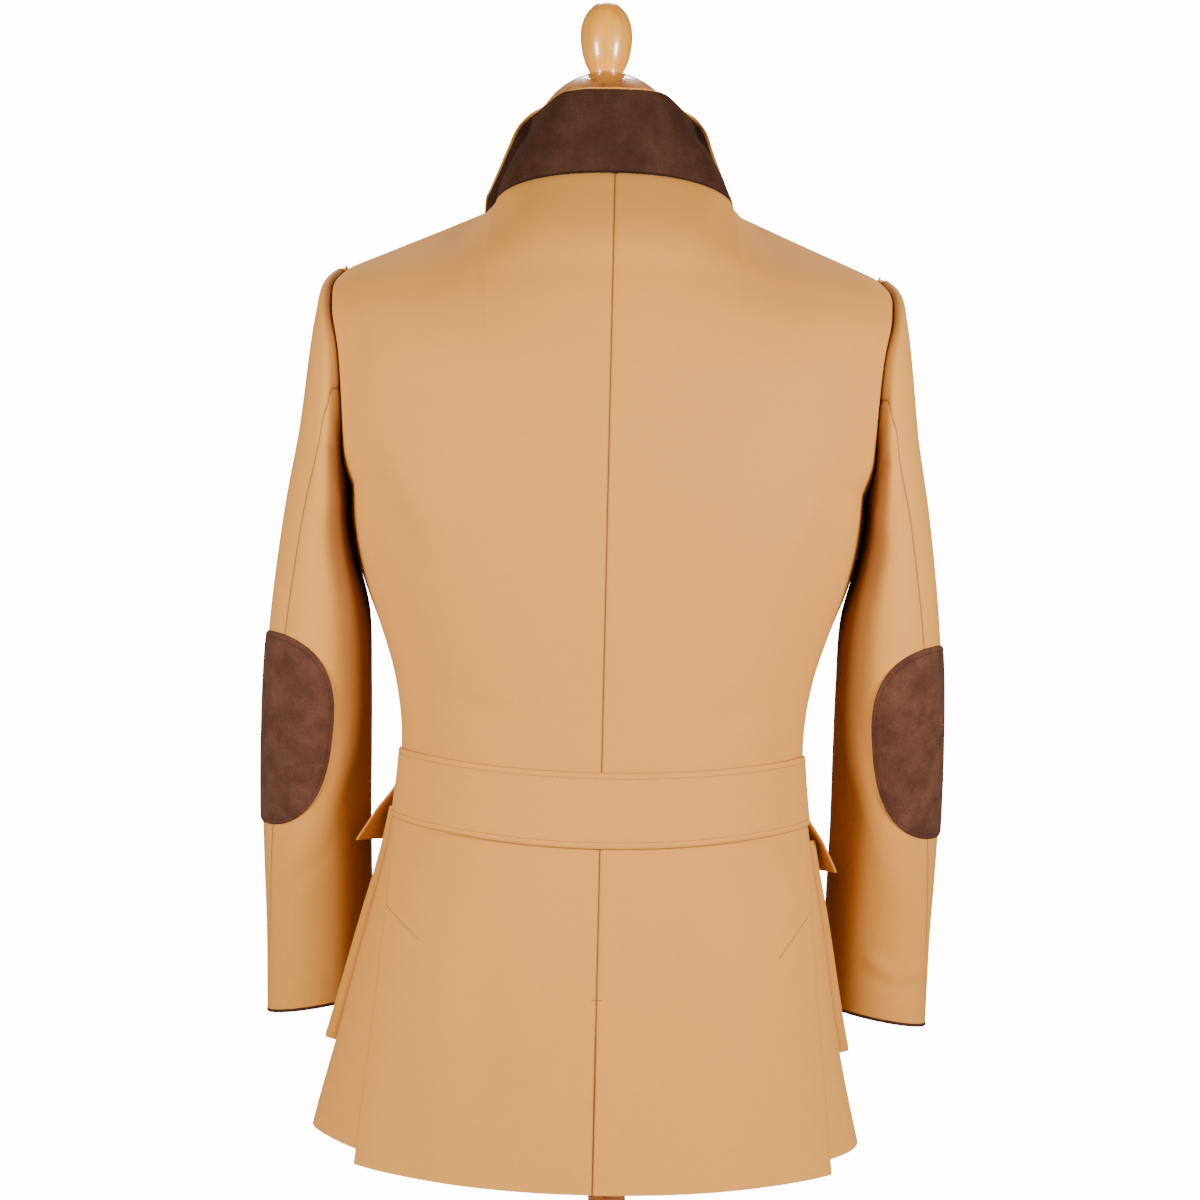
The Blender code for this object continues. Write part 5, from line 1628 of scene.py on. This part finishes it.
@dataclass
class Belt:
    """Half belt across the back waist, edge-stitched."""

    workshop: Workshop
    stitches: StitchKit
    form: BodyForm
    foot: float = 0.475
    height: float = 0.0585
    side_rise: float = 0.013
    thick: float = 0.0022
    reach: float = 0.992
    stitch_inset: float = 0.0055
    edge_groove: float = 0.0012
    edge_run: float = 0.0016
    stitch_groove: float = 0.0004
    stitch_run: float = 0.0012
    # Painted shadow line along the belt's edges
    edge_shade: float = 0.6
    edge_shade_run: float = 0.0007
    half_columns: int = 70
    row_count: int = 24

    def build(self) -> None:
        """Build the belt and its stitches."""
        half = np.sin(np.linspace(0.0, math.pi / 2.0, self.half_columns)) * self.reach
        shares = np.concatenate([-half[:0:-1], half])
        steps = with_edges(np.linspace(0.0, self.height, self.row_count), 1.0)
        rows = []
        for step in steps:
            rows.append([self.form.row(Half.BACK, self.foot + step + self.side_rise * share ** 2,
                                       np.array([share]))[0] for share in shares])
        grid = np.array(rows)
        normals = unit(np.cross(np.gradient(grid, axis=1), np.gradient(grid, axis=0)))
        if normals[len(steps) // 2, len(shares) // 2, 1] < 0.0:
            normals = -normals
        inner = grid + normals * LAY_GAP * 0.5
        sheet = Sheet(grid, normals).pushed(np.full(grid.shape[:2], LAY_GAP + self.thick))
        groove = np.zeros(grid.shape[:2])
        for edge in (Edge.FOOT, Edge.TOP):
            distance = sheet.edge_distance(edge)
            groove -= self.edge_groove * np.exp(-(distance / self.edge_run) ** 2)
            groove -= self.stitch_groove * np.exp(-((distance - self.stitch_inset) / self.stitch_run) ** 2)
        sheet = sheet.pushed(groove)
        # Painted shadow lines along the top and bottom edges
        shade = np.zeros(grid.shape[:2])
        for edge in (Edge.FOOT, Edge.TOP):
            near = np.exp(-(sheet.edge_distance(edge) / self.edge_shade_run) ** 2)
            shade = np.maximum(shade, self.edge_shade * near)
        sheet.shade = shade
        piece = self.workshop.add_shell("cloth_belt_back", sheet, self.thick, self.workshop.finishes.cotton,
                                        inner=inner)
        self.workshop.fit(piece, Slot.COTTON, "belt_back")
        self.workshop.declare(piece, sheet, ["cloth_back_left", "cloth_back_right"], held="laid")
        lines = [sheet.inset_line(edge, self.stitch_inset, THREAD_LIFT) for edge in (Edge.FOOT, Edge.TOP)]
        self.stitches.sew("belt_stitches", lines, self.workshop.finishes.tan_thread, Slot.COTTON)


class CollarEdge(NamedTuple):
    """Point of the collar's free edge at a share along the collar, and the inward depth of its roll."""

    along: float
    x: float
    y: float
    z: float
    roll: float


class CollarRoll(NamedTuple):
    """Section of a rolled collar: share of the way up, share of its inward depth, share of its rise."""

    up: float
    inward: float
    rise: float


@dataclass
class Collar:
    """Standing collar of suede, with a cotton inner layer that shows along its edge."""

    workshop: Workshop
    stitches: StitchKit
    form: BodyForm
    edges: tuple[CollarEdge, ...] = (
        CollarEdge(0.00, 0.0000, 0.066, 1.0956, 0.000),
        CollarEdge(0.15, 0.0330, 0.061, 1.0950, 0.000),
        CollarEdge(0.24, 0.0470, 0.050, 1.0925, 0.001),
        CollarEdge(0.30, 0.0615, 0.038, 1.0815, 0.005),
        CollarEdge(0.37, 0.0764, 0.021, 1.0677, 0.013),
        CollarEdge(0.45, 0.0848, 0.002, 1.0543, 0.018),
        CollarEdge(0.55, 0.0941, -0.022, 1.0387, 0.021),
        CollarEdge(0.66, 0.1029, -0.048, 1.0250, 0.022),
        CollarEdge(0.78, 0.1085, -0.076, 1.0150, 0.017),
        CollarEdge(0.90, 0.1080, -0.106, 0.9900, 0.008),
        CollarEdge(1.00, 0.0820, -0.128, 0.9700, 0.004),
    )
    section: tuple[CollarRoll, ...] = (
        CollarRoll(0.00, 0.00, 0.00),
        CollarRoll(0.25, 0.14, 0.36),
        CollarRoll(0.50, 0.60, 0.72),
        CollarRoll(0.72, 1.00, 0.95),
        CollarRoll(0.87, 0.68, 1.02),
        CollarRoll(1.00, 0.00, 1.00),
    )
    full_roll: float = 0.012
    sway: float = 0.0045
    sway_share: float = 0.5
    neck_share: float = 0.42
    neck_centre: float = -0.002
    end_turn: float = 54.0
    lift: float = 0.0006
    neck_lift: float = 0.0010
    neck_run: float = 0.12
    layer_gap: float = 0.0013
    tan_rise: float = 0.0018
    foot_trim: float = 0.0020
    tuck: float = 0.0045
    edge_stitch: float = 0.0065
    foot_stitch: float = 0.0210
    thread: float = 0.0005
    edge_groove: float = 0.0006
    # Painted shadow line along the free edges
    edge_shade: float = 0.3
    height: float = 0.08
    row_count: int = 34
    column_count: int = 241
    trim_share: float = 0.2

    def base(self, along: float) -> Grid:
        """Neckline point under the collar.

        Args:
            along: Share along the collar from the centre back.

        Returns:
            The point.
        """
        neck = self.form.neck_share
        power = 2.0 / self.form.neck_roundness
        if along <= self.neck_share:
            turn = along / self.neck_share * math.pi / 2.0
            return self.form.seam_line(Half.BACK, np.array(math.sin(turn) ** power * neck))
        turn = (along - self.neck_share) / (1.0 - self.neck_share) * math.radians(self.end_turn)
        return self.form.seam_line(Half.FRONT, np.array(math.cos(turn) ** power * neck))

    def line(self, along: float, rows: Grid) -> Grid:
        """Points of the collar from the neck seam to the free edge.

        Args:
            along: Signed share along the collar.
            rows: Shares of the way from the neck seam to the free edge.

        Returns:
            One point for each row.
        """
        side = Side.RIGHT if along < 0.0 else Side.LEFT
        table = np.array(self.edges)
        *edge, depth = read_rows(table[:, 0], table[:, 1:], np.array(abs(along)))[0]
        edge = np.array(edge)
        edge[0] += side.value * self.sway * float(smooth(abs(along) / self.sway_share))
        foot = self.base(abs(along))
        rise = self.lift + self.neck_lift * math.exp(-((abs(along) - self.neck_share) / self.neck_run) ** 2)
        foot = foot + unit(edge - foot) * rise
        inward = unit(np.array([-foot[0], self.neck_centre - foot[1], 0.0]))
        section = np.array(self.section)
        shape = read_rows(section[:, 0], section[:, 1:], rows)
        points = foot + (edge - foot) * rows[:, None]
        climb = rows + (shape[:, 1] - rows) * min(1.0, depth / self.full_roll)
        points[:, 2] = foot[2] + (edge[2] - foot[2]) * climb
        return side.mirrored(points + inward * (depth * shape[:, 0])[:, None])

    def sheet(self, alongs: Grid, rows: Grid) -> Sheet:
        """Stretch of the collar's outer face.

        Args:
            alongs: Signed shares along the collar.
            rows: Shares of the way from the neck seam to the free edge.

        Returns:
            The sheet, facing outwards.
        """
        grid = np.array([self.line(along, rows) for along in alongs]).transpose(1, 0, 2)
        normals = unit(np.cross(np.gradient(grid, axis=0), np.gradient(grid, axis=1)))
        if np.sum(normals * grid * np.array([1.0, 1.0, 0.0])) < 0.0:
            normals = -normals
        return Sheet(grid, normals)

    def tucked(self, sheet: Sheet) -> Sheet:
        """Add the seam allowance that turns down inside the neckline.

        Args:
            sheet: The collar's outer face.

        Returns:
            The sheet with two more rows at its foot.
        """
        inside = sheet.points[0] * np.array([-1.0, -1.0, 0.0]) + np.array([0.0, self.neck_centre, 0.0])
        bend = sheet.points[0] + unit(inside) * (CLOTH + 2.0 * SEAM_GAP)
        low = bend - np.array([0.0, 0.0, self.tuck])
        points = np.concatenate([low[None], bend[None], sheet.points])
        normals = np.concatenate([-unit(inside)[None], -unit(inside)[None], sheet.normals])
        shade = np.concatenate([sheet.shade[:1], sheet.shade[:1], sheet.shade])
        return Sheet(points, normals, sheet.wrap, shade)

    def build(self) -> None:
        """Build both layers of the collar."""
        finishes = self.workshop.finishes
        rows = with_edges(np.linspace(0.0, 1.0, self.row_count), self.height)
        alongs = np.linspace(-1.0, 1.0, self.column_count)
        # Painted shadow lines along the neck seam and the free edges
        suede = self.sheet(alongs, rows).seamed(Edge.FOOT)
        suede = suede.seamed(Edge.TOP, Edge.FIRST, Edge.LAST, groove=self.edge_groove, shade=self.edge_shade)
        lines = [suede.inset_line(Edge.TOP, self.edge_stitch, THREAD_LIFT),
                 suede.inset_line(Edge.FOOT, self.foot_stitch, THREAD_LIFT)]
        self.stitches.sew("collar_stitches", lines, finishes.brown_thread, Slot.SUEDE, thickness=self.thread)
        suede = self.tucked(suede)
        piece = self.workshop.add_shell("cloth_collar_outer", suede, SUEDE, finishes.collar_suede)
        self.workshop.fit(piece, Slot.SUEDE, "collar_outer")
        self.workshop.declare(piece, suede, ["cloth_back_left", "cloth_back_right"], held="stretched")
        outer = self.sheet(alongs, rows)
        inner = Sheet(outer.points - outer.normals * (SUEDE + self.layer_gap), outer.normals)
        up = unit(outer.points[-1] - outer.points[-4])[None]
        rise = smooth((rows - 1.0 + self.trim_share) / self.trim_share)[:, None, None] * self.tan_rise
        trim = smooth((self.trim_share - rows) / self.trim_share)[:, None, None] * self.foot_trim
        inner.points = inner.points + up * rise + unit(outer.points[4] - outer.points[0])[None] * trim
        piece = self.workshop.add_shell("cloth_collar_inner", inner, SUEDE, finishes.cotton)
        self.workshop.fit(piece, Slot.COTTON, "collar_inner")
        self.workshop.declare(piece, inner, ["cloth_collar_outer"], held="stretched")


@dataclass
class Pockets:
    """Bellows pocket and flared flap on each front."""

    workshop: Workshop
    stitches: StitchKit
    form: BodyForm
    pocket_shares: tuple[float, float] = (0.50, 0.992)
    pocket_levels: dict[Side, tuple[float, float]] = field(default_factory=lambda: {
        Side.LEFT: (0.290, 0.492), Side.RIGHT: (0.288, 0.470)})
    pocket_grid: tuple[int, int] = (46, 48)
    bulge: float = 0.0070
    side_bulge: float = 0.0090
    side_bulge_power: int = 6
    edge_shares: tuple[float, float, float] = (0.12, 0.10, 0.10)
    edge_height: float = 0.45
    top_loss: float = 0.45
    flap_shares: tuple[float, float] = (0.47, 0.996)
    flap_levels: dict[Side, tuple[float, float]] = field(default_factory=lambda: {
        Side.LEFT: (0.458, 0.516), Side.RIGHT: (0.440, 0.494)})
    flap_grid: tuple[int, int] = (24, 60)
    flap_thick: float = 0.0030
    flap_stand: float = 0.72
    flap_stand_run: float = 0.55
    flap_settle: float = 0.35
    flare_power: float = 1.1
    flare_front: float = 0.5
    flare: dict[Side, float] = field(default_factory=lambda: {Side.LEFT: 0.0250, Side.RIGHT: 0.0170})
    wall: float = 0.0018
    width: float = 0.16
    stitch_inset: float = 0.0055
    edge_groove: float = 0.0007
    # Painted shadow line along the sewn edges
    edge_shade: float = 0.2

    def stretch(self, levels: tuple[float, float], shares: tuple[float, float],
                rows: int, columns: int) -> tuple[Sheet, Grid, Grid]:
        """Stretch of the front under a pocket or flap.

        Args:
            levels: Lowest and highest heights.
            shares: First and last shares.
            rows: Number of rows.
            columns: Number of columns.

        Returns:
            The sheet, then the shares up and across it.
        """
        up = with_edges(np.linspace(0.0, 1.0, rows), levels[1] - levels[0])
        across = with_edges(np.linspace(0.0, 1.0, columns), self.width)
        first, last = (math.asin(share) for share in shares)
        sheet = self.form.sheet(Half.FRONT, levels[0] + (levels[1] - levels[0]) * up,
                                np.sin(first + (last - first) * across))
        return sheet, up[:, None], across[None, :]

    def build(self, side: Side) -> None:
        """Build the pocket and flap of one side.

        Args:
            side: The side.
        """
        base, up, across = self.stretch(self.pocket_levels[side], self.pocket_shares, *self.pocket_grid)
        first, last, foot = self.edge_shares
        soft = smooth(across / first) * smooth((1.0 - across) / last) * smooth(up / foot)
        full = (self.bulge - self.wall) * (self.edge_height + (1.0 - self.edge_height) * soft)
        full = full + self.side_bulge * across ** self.side_bulge_power
        bulge = LAY_GAP + self.wall + full * (1.0 - self.top_loss * up)
        self.add_layer("pocket", side, base, bulge, np.full(bulge.shape, LAY_GAP))

        base, up, across = self.stretch(self.flap_levels[side], self.flap_shares, *self.flap_grid)
        down = 1.0 - up
        stand = self.bulge * self.flap_stand * smooth(down / self.flap_stand_run)
        rear = self.flare_front + (1.0 - self.flare_front) * across ** 3
        flare = self.flare[side] * rear * down ** self.flare_power - self.bulge * self.flap_settle * down
        lift = LAY_GAP + self.flap_thick + stand + flare
        self.add_layer("flap", side, base, lift, lift - self.flap_thick)

    def add_layer(self, name: str, side: Side, base: Sheet, outer: Grid, inner: Grid) -> None:
        """Add one layer that lies on the front, with its edge stitches.

        Args:
            name: Name of the layer.
            side: The side.
            base: The front's surface under the layer.
            outer: Distance of its outer face from the front.
            inner: Distance of its inner face from the front.
        """
        face = self.form.swayed(base.pushed(outer), side)
        # Painted shadow lines along the sewn edges
        face = face.seamed(Edge.FOOT, Edge.LAST, Edge.FIRST, groove=self.edge_groove, shade=self.edge_shade)
        lining = self.form.swayed(base.pushed(inner), side)
        own = Sheet(side.mirrored(face.points), side.mirrored(face.normals), shade=face.shade)
        piece = self.workshop.add_shell(f"cloth_{side.label(name)}", own, self.wall,
                                        self.workshop.finishes.cotton, inner=side.mirrored(lining.points))
        self.workshop.fit(piece, Slot.COTTON, side.label(name))
        self.workshop.declare(piece, own, [f"cloth_{side.label('front')}"], held="laid")
        lines = [side.mirrored(face.inset_line(edge, self.stitch_inset, THREAD_LIFT))
                 for edge in (Edge.FIRST, Edge.LAST, Edge.FOOT)]
        self.stitches.sew(side.label(f"{name}_stitches"), lines, self.workshop.finishes.tan_thread,
                          Slot.COTTON)


@dataclass
class Buttons:
    """Four sewn horn buttons down the left front."""

    workshop: Workshop
    count: int = 4

    def build(self) -> None:
        """Give each button's own solid its horn finish."""
        for number in range(1, self.count + 1):
            solid = bpy.data.objects[f"button_{number}"].data
            solid.materials.clear()
            solid.materials.append(self.workshop.finishes.horn)
            LOG.info("button_%d: horn finish on its own solid", number)


class TurnPoint(NamedTuple):
    """Point of a turned outline."""

    radius: float
    height: float


@dataclass
class DressForm:
    """Covered torso, turned neck cap and finial, pole and base."""

    workshop: Workshop
    neck_radius: float = 0.0560
    neck_y: float = -0.002
    neck_top: float = 1.070
    cap_top: float = 1.1200
    cap_flat: float = 0.0160
    dome_radius: float = 0.063
    finial_top: float = 1.1825
    finial_radius: float = 0.0222
    finial_neck: float = 0.0129
    waist_share: float = 0.53
    finial_foot: float = 0.0012
    finial_start: float = 0.93
    finial_turn: float = 1.53
    cap_chamfer: tuple[float, float] = (0.002, 0.004)
    cap_lip: float = 0.0005
    foot: float = 0.300
    pole_radius: float = 0.016
    base_radius: float = 0.150
    base_height: float = 0.028
    base_chamfer: float = 0.004
    base_wall: float = 0.016
    base_round: float = 0.020
    sharp_degrees: float = 50.0
    weld_reach: float = 0.00001
    sides: int = 96

    def turned(self, name: str, outline: Sequence[TurnPoint], centre_y: float, finish: bpy.types.Material,
               slot: Slot) -> None:
        """Turn a solid about an upright axis.

        Args:
            name: Name of the node that it stands for.
            outline: Outline from foot to top.
            centre_y: Place of the axis front to back.
            finish: Material of the solid.
            slot: Material slot, handed on to fit.
        """
        angle = np.linspace(0.0, 2.0 * math.pi, self.sides, endpoint=False)
        rings = [np.stack([point.radius * np.cos(angle), centre_y + point.radius * np.sin(angle),
                           np.full(self.sides, point.height)], axis=-1) for point in outline]
        points = np.concatenate(rings)
        faces = []
        for r in range(len(outline) - 1):
            for k in range(self.sides):
                after = (k + 1) % self.sides
                faces.append((r * self.sides + k, r * self.sides + after,
                              (r + 1) * self.sides + after, (r + 1) * self.sides + k))
        faces.append(tuple(range(self.sides))[::-1])
        faces.append(tuple((len(outline) - 1) * self.sides + k for k in range(self.sides)))
        piece = self.workshop.add_mesh(f"turned_{name}", points, faces, finish)
        piece.data.set_sharp_from_angle(angle=math.radians(self.sharp_degrees))
        self.workshop.fit(piece, slot, name)

    def build(self) -> None:
        """Build the whole form."""
        finishes = self.workshop.finishes
        self.build_torso(bpy.data.objects["form_torso"].data)
        dome = self.cap_top - math.sqrt(self.dome_radius ** 2 - self.cap_flat ** 2)
        start = self.neck_top + SEAM_GAP
        inset, rise = self.cap_chamfer
        cap = [TurnPoint(self.neck_radius - inset, start), TurnPoint(self.neck_radius, start + rise)]
        for radius in np.linspace(self.neck_radius - self.cap_lip, self.cap_flat, 24):
            cap.append(TurnPoint(radius, dome + math.sqrt(self.dome_radius ** 2 - radius ** 2)))
        self.turned("neck_cap", cap, self.neck_y, finishes.stand, Slot.STAND)

        start = self.cap_top + SEAM_GAP
        waist = start + self.waist_share * (self.finial_top - start)
        drop = (waist - start) / math.sqrt(1.0 - (self.finial_neck / self.finial_radius) ** 2)
        egg = [TurnPoint(self.finial_neck + self.finial_foot, start)]
        for share in np.linspace(self.finial_start, 0.0, 20):
            height = waist - (waist - start) * share
            radius = self.finial_radius * math.sqrt(1.0 - ((waist - height) / drop) ** 2)
            egg.append(TurnPoint(radius, height))
        for turn in np.linspace(0.0, self.finial_turn, 24)[1:]:
            egg.append(TurnPoint(self.finial_radius * math.cos(turn),
                                 waist + (self.finial_top - waist) * math.sin(turn)))
        self.turned("finial", egg, self.neck_y, finishes.varnished, Slot.VARNISHED)

        pole = [TurnPoint(self.pole_radius, self.base_height + SEAM_GAP),
                TurnPoint(self.pole_radius, self.foot - SEAM_GAP)]
        self.turned("pole", pole, 0.0, finishes.stand, Slot.STAND)
        edge = self.base_radius
        plate = [TurnPoint(edge - self.base_chamfer, 0.0), TurnPoint(edge, self.base_chamfer),
                 TurnPoint(edge, self.base_wall)]
        for turn in np.linspace(0.0, math.pi / 2.0, 10)[1:]:
            height = self.base_wall + (self.base_height - self.base_wall) * math.sin(turn)
            plate.append(TurnPoint(edge - self.base_round * (1.0 - math.cos(turn)), height))
        self.turned("base", plate, 0.0, finishes.stand, Slot.STAND)

    def build_torso(self, solid: bpy.types.Mesh) -> None:
        """Cover the torso with a finer, smoother skin of the same form.

        Args:
            solid: Mesh of the torso's solid.
        """
        torso = bpy.data.objects.new("covered_torso", solid.copy())
        bpy.context.scene.collection.objects.link(torso)
        torso.data.materials.clear()
        torso.data.materials.append(self.workshop.finishes.linen)
        weld = torso.modifiers.new("weld", "WELD")
        weld.merge_threshold = self.weld_reach
        round_off = torso.modifiers.new("round_off", "SUBSURF")
        round_off.levels = 2
        graph = bpy.context.evaluated_depsgraph_get()
        plain = bpy.data.meshes.new_from_object(torso.evaluated_get(graph))
        torso.modifiers.clear()
        torso.data = plain
        plain.shade_smooth()
        self.workshop.fit(torso, Slot.LINEN, "form_torso")


class Lamp(NamedTuple):
    """Soft rectangular light: its place, the point it faces, width and height, and watts."""

    name: str
    place: tuple[float, float, float]
    aim: tuple[float, float, float]
    size: tuple[float, float]
    power: float


@dataclass
class Studio:
    """White room, pale floor, soft light on the back and the front, and the camera."""

    camera_place: tuple[float, float, float] = (0.0, 2.3, 0.6735)
    focal_pixels: float = 2706.0
    frame_pixels: float = 1200.0
    middle_pixel: float = 606.5
    sensor: float = 36.0
    room: Color = (1.0, 1.0, 1.0)
    lamp_color: Color = (1.0, 0.955, 0.87)
    room_strength: float = 0.06
    fill_strength: float = 0.2
    fill_inner_degrees: float = 14.0
    fill_outer_degrees: float = 30.0
    white_strength: float = 14.0
    floor_radius: float = 0.62
    floor_drop: float = 0.0005
    floor_sides: int = 96
    floor_color: Color = (0.82, 0.82, 0.82)
    floor_roughness: float = 0.9
    lamps: tuple[Lamp, ...] = (
        Lamp("left_box", (1.08, 1.02, 0.84), (0.0, 0.0, 0.72), (0.35, 0.5), 33.0),
        Lamp("right_box", (-1.08, 1.02, 0.84), (0.0, 0.0, 0.72), (0.35, 0.5), 38.0),
        Lamp("front_box", (0.0, -1.50, 2.60), (0.0, -0.1, 0.75), (0.8, 0.8), 60.0),
    )

    def build(self) -> None:
        """Set camera, light and floor."""
        self.add_camera()
        self.add_room()
        self.add_floor()
        for lamp in self.lamps:
            self.add_light(lamp)

    def add_camera(self) -> None:
        """Place the camera level behind the jacket."""
        lens = bpy.data.cameras.new("camera")
        lens.sensor_width = self.sensor
        lens.lens = self.focal_pixels / self.frame_pixels * self.sensor
        lens.shift_x = -(self.middle_pixel - self.frame_pixels / 2.0) / self.frame_pixels
        camera = bpy.data.objects.new("camera", lens)
        camera.location = self.camera_place
        camera.rotation_euler = (math.pi / 2.0, 0.0, math.pi)
        bpy.context.scene.collection.objects.link(camera)
        bpy.context.scene.camera = camera

    def add_room(self) -> None:
        """Set a dim room that looks white, with a soft fill on the jacket's front side."""
        world = bpy.data.worlds.new("white_room")
        world.use_nodes = True
        graph = Graph(world.node_tree)
        ahead = graph.add("ShaderNodeTexCoord").outputs["Generated"]
        facing = graph.add("ShaderNodeVectorMath", {0: ahead, 1: (0.0, -1.0, 0.0)}, operation="DOT_PRODUCT")
        fill = graph.add("ShaderNodeMapRange", {
            "Value": facing.outputs["Value"],
            "From Min": math.cos(math.radians(self.fill_outer_degrees)),
            "From Max": math.cos(math.radians(self.fill_inner_degrees)),
            "To Min": self.room_strength,
            "To Max": self.fill_strength}, interpolation_type="SMOOTHSTEP")
        seen = graph.add("ShaderNodeLightPath").outputs["Is Camera Ray"]
        power = graph.add("ShaderNodeMix", {0: seen, 2: fill.outputs[0], 3: self.white_strength})
        ground = world.node_tree.nodes["Background"]
        ground.inputs["Color"].default_value = (*self.room, 1.0)
        world.node_tree.links.new(power.outputs[0], ground.inputs["Strength"])
        bpy.context.scene.world = world

    def add_floor(self) -> None:
        """Set a round pale floor under the stand."""
        angle = np.linspace(0.0, 2.0 * math.pi, self.floor_sides, endpoint=False)
        ring = [(self.floor_radius * math.cos(turn), self.floor_radius * math.sin(turn), -self.floor_drop)
                for turn in angle]
        mesh = bpy.data.meshes.new("floor")
        mesh.from_pydata(ring, [], [tuple(range(self.floor_sides))])
        mesh.materials.append(PlainFinish("pale_floor", self.floor_color, self.floor_roughness).build())
        floor = bpy.data.objects.new("floor", mesh)
        bpy.context.scene.collection.objects.link(floor)

    def add_light(self, lamp: Lamp) -> None:
        """Add a soft rectangular light.

        Args:
            lamp: The light's row of the table.
        """
        light = bpy.data.lights.new(lamp.name, "AREA")
        light.shape = "RECTANGLE"
        light.size, light.size_y = lamp.size
        light.energy = lamp.power
        light.color = self.lamp_color
        made = bpy.data.objects.new(lamp.name, light)
        made.location = lamp.place
        across = np.subtract(lamp.aim, lamp.place)
        flat = math.hypot(across[0], across[1])
        made.rotation_euler = (math.atan2(flat, -across[2]), 0.0, math.atan2(-across[0], across[1]))
        bpy.context.scene.collection.objects.link(made)


def main() -> None:
    """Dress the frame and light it."""
    logging.basicConfig(level=logging.INFO, format="%(message)s")
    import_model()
    workshop = Workshop(Finishes())
    stitches = StitchKit(workshop)
    body = BodyForm()
    bodice = Bodice(workshop, stitches, body)
    sleeve = Sleeve(workshop, stitches, SleeveForm())
    skirt = Skirt(workshop, stitches, body)
    pockets = Pockets(workshop, stitches, body)
    for side in Side:
        sleeve.build(side, bodice.build(side))
        skirt.build(side)
        pockets.build(side)
    Belt(workshop, stitches, body).build()
    Collar(workshop, stitches, body).build()
    Buttons(workshop).build()
    DressForm(workshop).build()
    Studio().build()


if __name__ == "__main__":
    main()
